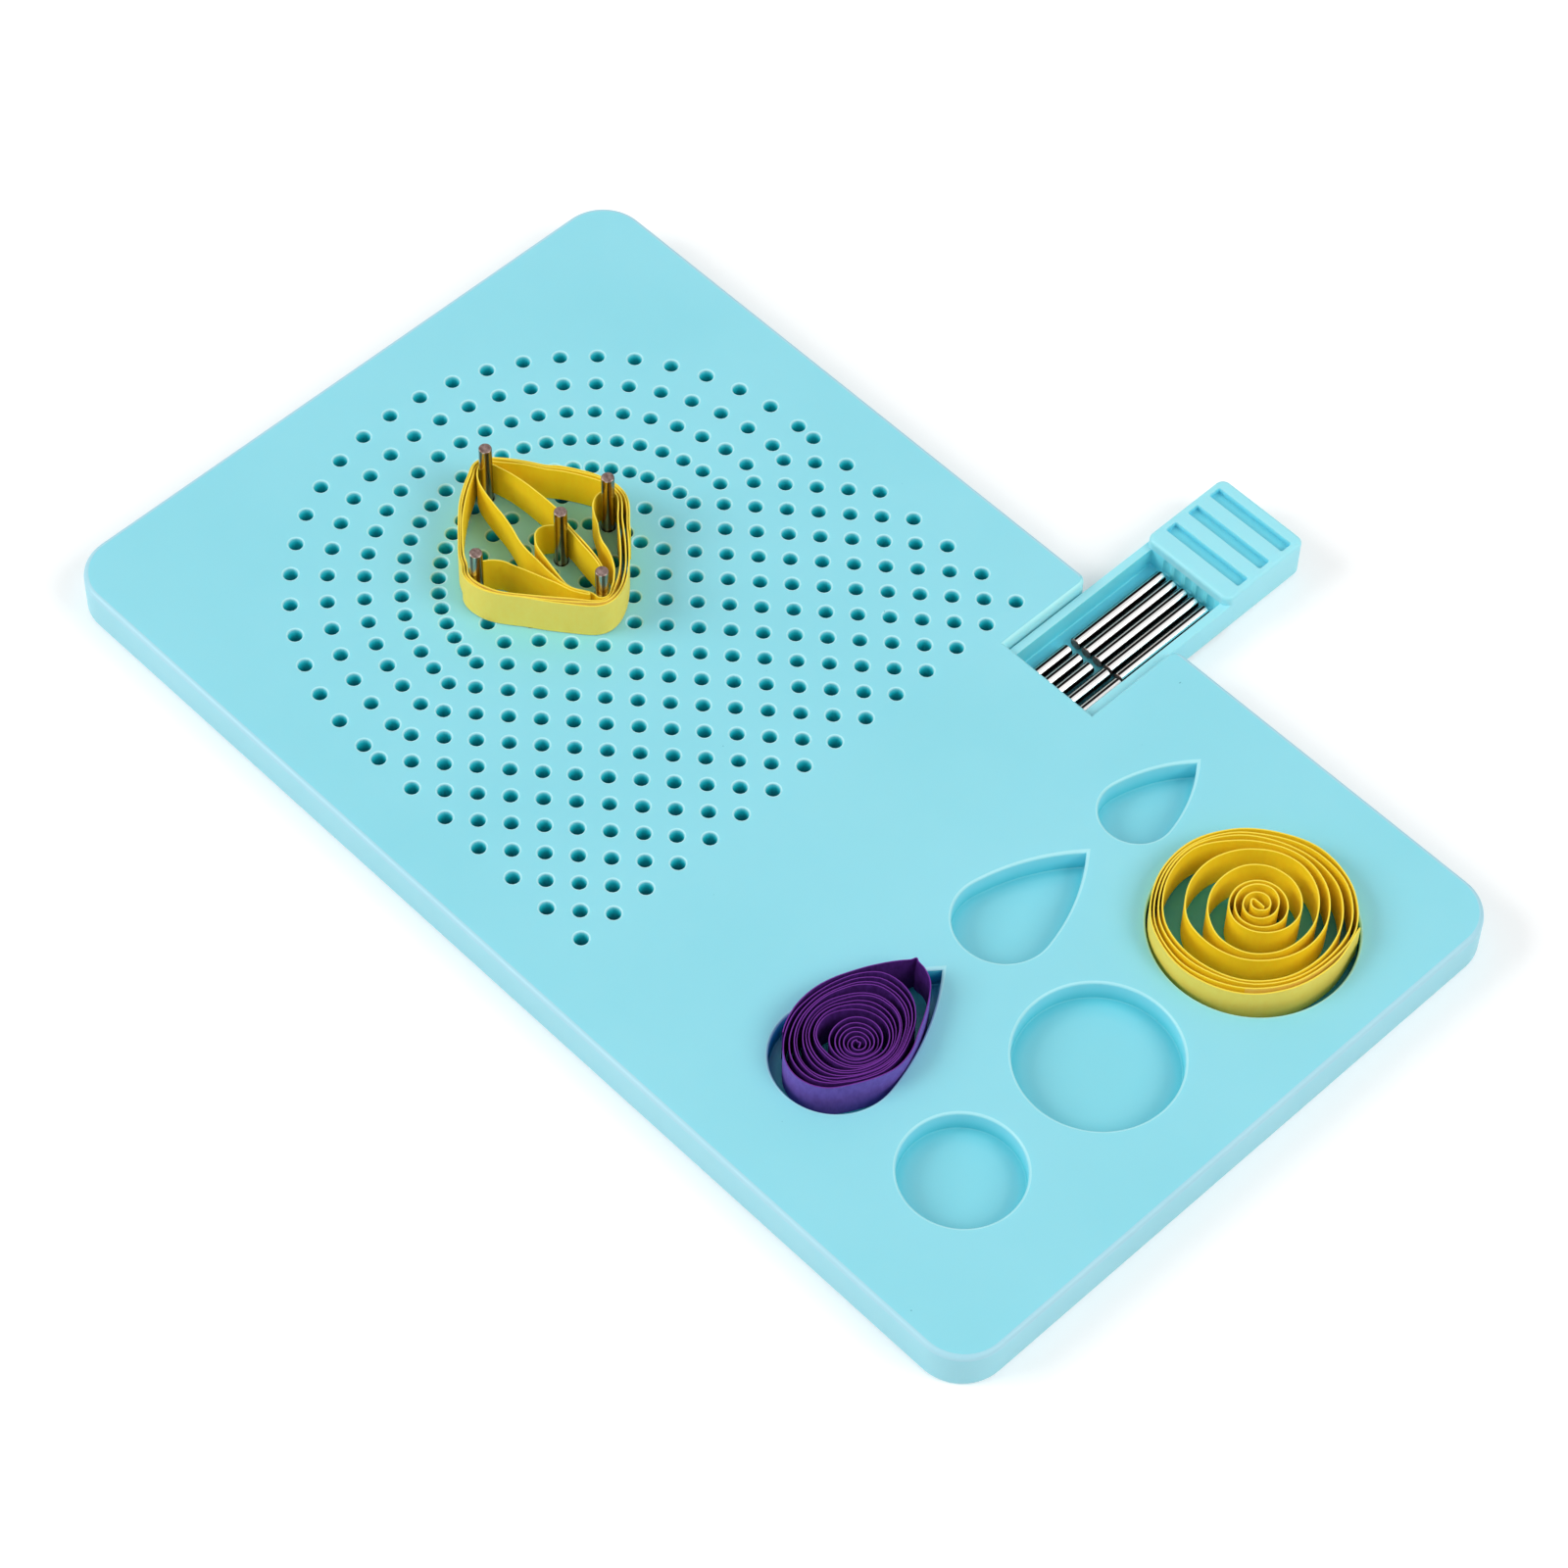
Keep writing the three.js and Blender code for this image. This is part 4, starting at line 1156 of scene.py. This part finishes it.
def dyed_paper(name, dark, light, edge, glow=0.0, nap=0.0):
    """edge tints the painted highlight on the upper cut edges, the sheen and the gloss. glow is the
    share of light that passes through, nap the sheen of the ends of the fibres.
    """
    finish = Finish(name)
    fibres = finish.noise(
        FIBRE_SCALE, detail=5, vector=finish.stretched(FIBRE_STRETCH), roughness=0.65)
    face = finish.ramp(fibres, (0.32, dark), (0.68, light))
    upper_edge_painted_highlight = finish.ramp(finish.parts(finish.normal)["Z"], (0.6, 0.0), (0.8, 1.0))
    finish.link(finish.mix(upper_edge_painted_highlight, face, colour(edge)), finish.shader.inputs["Base Color"])
    finish.shader.inputs["Roughness"].default_value = PAPER_ROUGHNESS
    finish.shader.inputs["Sheen Weight"].default_value = nap
    finish.shader.inputs["Sheen Roughness"].default_value = NAP_ROUGHNESS
    finish.shader.inputs["Sheen Tint"].default_value = colour(edge)
    finish.shader.inputs["Specular Tint"].default_value = colour(edge)
    finish.shader.inputs["Subsurface Weight"].default_value = glow
    finish.shader.inputs["Subsurface Radius"].default_value = (1.0, 1.0, 1.0)
    finish.shader.inputs["Subsurface Scale"].default_value = PAPER_REACH
    finish.bump(fibres, strength=0.2, distance=0.03 * MM)
    return finish.material


yellow_paper = dyed_paper(
    "yellow paper", (255, 217, 10), (255, 226, 24), (255, 226, 80), glow=0.2, nap=0.6)
# The outside finishes are paler copies, painted light on the outer side of the last lap.
yellow_paper_painted_light = dyed_paper(
    "yellow paper, outside, painted light", (255, 220, 98), (255, 226, 110), (255, 232, 110), glow=0.12, nap=0.6)
purple_paper = dyed_paper("purple paper", (62, 28, 96), (84, 42, 128), (114, 54, 150))
purple_paper_painted_light = dyed_paper(
    "purple paper, outside, painted light", (104, 82, 164), (118, 94, 182), (126, 68, 164), glow=0.2)
print("papers ready")

# %% [markdown]
# ## Dress the pieces
#
# Each piece gets its finishes, rides on the body that its solid belongs to, and takes its solid's
# place. The faces for every finish beside the main one are picked by their place and by the way
# that they face. On the board these are the insides of the moulds and the walls of the holes with
# painted shade, the rims of both with a painted highlight, and the outer sides with their rims and
# one wall of the window with painted light. On the drawer they are the tray and the grooves, with
# painted shade. Where a face passes two tests, the later one counts.

# %% Tests for recesses and holes
MOULDS_FROM = 29 * MM
MOULDS_TO = 72 * MM
MOULDS_HALF = 36 * MM
BETWEEN_ROWS = 46 * MM
LARGE_FROM = 7 * MM
WALL_FACING = 0.2

hole_tree = KDTree(len(holes))
for number, place in enumerate(holes):
    hole_tree.insert((place.x, place.y, 0), number)
hole_tree.balance()


def in_hole(face):
    middle = face.calc_center_median()
    _, _, distance = hole_tree.find((middle.x, middle.y, 0))
    return distance < HOLE_RADIUS + HOLE_RIM


def over_moulds(face):
    middle = face.calc_center_median()
    return MOULDS_FROM < middle.x < MOULDS_TO and abs(middle.y - board_middle.y) < MOULDS_HALF


# The moulds where the coils lie get the deepest finish, as painted shade of the coils.
def in_filled_mould(face):
    """True in the two large moulds, where the coils lie, each at its own end of its row."""
    middle = face.calc_center_median()
    y = middle.y - board_middle.y
    return y > LARGE_FROM if middle.x > BETWEEN_ROWS else y < -LARGE_FROM


def is_hole_wall(face):
    return in_hole(face) and abs(face.normal.z) < WALL_FACING


def is_mould_inside(face):
    height = face.calc_center_median().z
    return over_moulds(face) and MOULD_FLOOR - TINY < height < top - MOULD_RIM + TINY


def is_filled_inside(face):
    return is_mould_inside(face) and in_filled_mould(face)


def is_tray_inside(face):
    middle = face.calc_center_median()
    across = abs(middle.x - DRAWER_X) < PAD_HALF - TRAY_WALL + TINY
    within = across and middle.y < pad_face + FLUTE_DEPTH
    return within and TRAY_FLOOR - TINY < middle.z < TRAY_TOP - TRAY_RIM


def is_groove_inside(face):
    middle = face.calc_center_median()
    return over_grooves(middle) and top - GRIP_DEPTH - TINY < middle.z < top - GRIP_BREAK


print("tests for recesses ready")

# %% Tests for rims and sides
RIM_FACING = 0.1
LEVEL_FACING = 0.995
WINDOW_FACING = 0.3


def is_rim(face):
    height = face.calc_center_median().z
    return height > top - MOULD_RIM and RIM_FACING < face.normal.z < LEVEL_FACING


def is_hole_rim(face):
    return is_rim(face) and in_hole(face)


def is_mould_rim(face):
    return is_rim(face) and over_moulds(face)


def is_side(face):
    """True on the board's outer sides, with their rims and without the window's walls."""
    middle = face.calc_center_median()
    room = min(board_size.x / 2 - abs(middle.x), board_size.y / 2 - abs(middle.y - board_middle.y))
    in_window = abs(middle.x - DRAWER_X) < WINDOW_HALF + MM and middle.y > WINDOW_END - MM
    return room < CORNER_RADIUS and abs(face.normal.z) < LEVEL_FACING and not in_window


def is_side_rim(face):
    return is_side(face) and face.normal.z > RIM_FACING


def is_window_wall(face):
    """True on the window's wall that faces along X, which gets a lighter tone as painted light."""
    middle = face.calc_center_median()
    on_wall = abs(middle.x - DRAWER_X + WINDOW_HALF) < RIM_RADIUS and middle.y > WINDOW_END
    return on_wall and face.normal.x > WINDOW_FACING


print("tests for rims ready")

# %% Mark the floors near their walls for painted shade
SHADE_PLACES = (*reversed(FLOOR_RINGS), 0.98)
SHADE_AMOUNTS = (0, 0.3, 1)


def painted_shade_near_wall(place):
    """The share of painted shade: one at the outline of a mould's floor, nought from its inner ring on.
    """
    if abs(place.z - MOULD_FLOOR) > TINY:
        return 0.0
    for centre, radius, outline in moulds:
        offset = (place - centre).xy
        share = offset.length / (radius * outline(math.atan2(offset.y, offset.x)))
        if share < 1:
            return float(np.interp(share, SHADE_PLACES, SHADE_AMOUNTS))
    return 0.0


marks = board.data.attributes.new("painted_shade_near_wall", "FLOAT", "POINT")
for vert, mark in zip(board.data.vertices, marks.data):
    mark.value = painted_shade_near_wall(vert.co)
print("floor points near a wall:", sum(mark.value > 0 for mark in marks.data))

# %% Dress the pieces
def give(piece, *finishes):
    """Gives a piece its main finish, and each (finish, test) to the faces that pass the test."""
    main, *others = finishes
    for material in [main] + [material for material, _ in others]:
        piece.data.materials.append(material)
    edit(piece)
    for slot, (_, test) in enumerate(others, 1):
        piece.active_material_index = slot
        if pick("faces", test):
            bpy.ops.object.material_slot_assign()
    let_go()


def dress(piece, node, body, slot, *finishes):
    give(piece, *finishes)
    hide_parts(node)
    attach(piece, body)


dress(
    board, "board", "board", "board_plastic", plastic,
    (recess_painted_shade, is_mould_inside), (filled_mould_painted_shade, is_filled_inside),
    (hole_painted_shade, is_hole_wall), (hole_rim_painted_highlight, is_hole_rim), (mould_rim_painted_highlight, is_mould_rim),
    (side_plastic_painted_light, is_side), (side_rim_painted_highlight, is_side_rim), (window_wall_painted_light, is_window_wall))
dress(
    drawer, "pin_drawer", "drawer", "board_plastic", drawer_plastic,
    (tray_painted_shade, is_tray_inside), (groove_painted_shade, is_groove_inside))
for k, pin in enumerate(standing_pins, 1):
    dress(pin, f"standing_pin_{k}", f"pin_{k}", "pin_steel", standing_steel)
for k, pin in enumerate(stored_pins, 1):
    dress(pin, f"stored_pin_{k}", "drawer", "pin_steel", lying_steel)
print("board, drawer and pins dressed")

# %% Dress the papers
def dress_paper(piece, node, slot, *materials):
    """The outer side of a strip is marked already, so its finishes are only listed."""
    for material in materials:
        piece.data.materials.append(material)
    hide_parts(node)
    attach(piece, node)


dress_paper(woven_strip, "woven_strip", "yellow_paper", yellow_paper, yellow_paper_painted_light)
dress_paper(round_coil, "round_coil", "yellow_paper", yellow_paper, yellow_paper_painted_light)
dress_paper(drop_coil, "teardrop_coil", "purple_paper", purple_paper, purple_paper_painted_light)
print("papers dressed")

# %% [markdown]
# ## Camera
#
# The camera looks down on the board's near corner from some way off with a long lens, and is
# turned a little about its own line of sight.

# %% Camera
LENS = 114.389
SENSOR_WIDTH = 36
AIM = Vector((6.246, -15.527, 6.0)) * MM
DISTANCE = 589.154 * MM
AZIMUTH = math.radians(44.12)
ELEVATION = math.radians(54.262)
ROLL = math.radians(2.143)

let_go()
bpy.ops.object.camera_add()
camera = bpy.context.object
camera.data.lens = LENS
camera.data.sensor_width = SENSOR_WIDTH
looking = Euler((math.pi / 2 - ELEVATION, 0, AZIMUTH), "XYZ").to_matrix()
looking = looking @ Matrix.Rotation(ROLL, 3, "Z")
camera.location = AIM + looking.col[2] * DISTANCE
camera.rotation_euler = looking.to_euler()
bpy.context.scene.camera = camera
print("camera at", [round(value / MM) for value in camera.location], "mm")

# %% [markdown]
# ## Floor, lamps and backdrop
#
# The floor is a wide white sheet under the board. It lends the camera and the reflections a
# little light of its own, so that it reads as white and still keeps the board's shadow. The world
# is white for the camera and for reflections, and dimmer for the light that it gives.

# %% Floor
FLOOR_SIZE = 6.0
FLOOR_DROP = 0.02 * MM
FLOOR_GLOW = 0.22


def shown_or_mirrored(nodes, links):
    """One for a ray from the camera, off a shiny face or through glass, and nought for others."""
    path = nodes.new("ShaderNodeLightPath")
    found = path.outputs["Is Camera Ray"]
    for name in ("Is Glossy Ray", "Is Transmission Ray"):
        either = nodes.new("ShaderNodeMath")
        either.operation = "MAXIMUM"
        links.new(found, either.inputs[0])
        links.new(path.outputs[name], either.inputs[1])
        found = either.outputs[0]
    return found


let_go()
bpy.ops.mesh.primitive_plane_add(size=FLOOR_SIZE, location=(0, 0, -FLOOR_DROP))
floor = bpy.context.object
floor.name = "floor"
paint = Finish("floor")
paint.shader.inputs["Base Color"].default_value = (0.9, 0.9, 0.9, 1.0)
paint.shader.inputs["Roughness"].default_value = 0.8
paint.shader.inputs["Emission Color"].default_value = (1.0, 1.0, 1.0, 1.0)
glow = paint.math("MULTIPLY", shown_or_mirrored(paint.nodes, paint.links), FLOOR_GLOW)
paint.link(glow, paint.shader.inputs["Emission Strength"])
floor.data.materials.append(paint.material)
print("floor laid")

# %% World
WORLD_LIGHT = 0.46

world = bpy.data.worlds.new("studio")
world.use_nodes = True
nodes, links = world.node_tree.nodes, world.node_tree.links
nodes.clear()
blend = nodes.new("ShaderNodeMixShader")
links.new(shown_or_mirrored(nodes, links), blend.inputs["Fac"])
for slot, strength in ((1, WORLD_LIGHT), (2, 1.0)):
    background = nodes.new("ShaderNodeBackground")
    background.inputs["Color"].default_value = (1, 1, 1, 1)
    background.inputs["Strength"].default_value = strength
    links.new(background.outputs[0], blend.inputs[slot])
links.new(blend.outputs[0], nodes.new("ShaderNodeOutputWorld").inputs[0])
bpy.context.scene.world = world
print("world ready")

# %% [markdown]
# A large soft lamp stands at the front left and lights the near long side. A weaker one at the
# right lights the short side and fills the shadows.

# %% Lamps
LAMP_AIM = Vector((0, -12, 0)) * MM


def lamp(name, azimuth, elevation, distance, size, watts):
    """A square soft lamp that faces the board's middle from that direction."""
    let_go()
    bpy.ops.object.light_add(type="AREA")
    light = bpy.context.object
    light.name = name
    light.data.size = size
    light.data.energy = watts
    turn = Euler((math.pi / 2 - math.radians(elevation), 0, math.radians(azimuth)), "XYZ")
    light.rotation_euler = turn
    light.location = LAMP_AIM + turn.to_matrix().col[2] * distance


lamp("key", azimuth=-38, elevation=34, distance=2.5, size=1.2, watts=32)
lamp("fill", azimuth=112, elevation=42, distance=2.5, size=1.3, watts=26)
bpy.context.scene.view_settings.view_transform = "Standard"
print("lit")
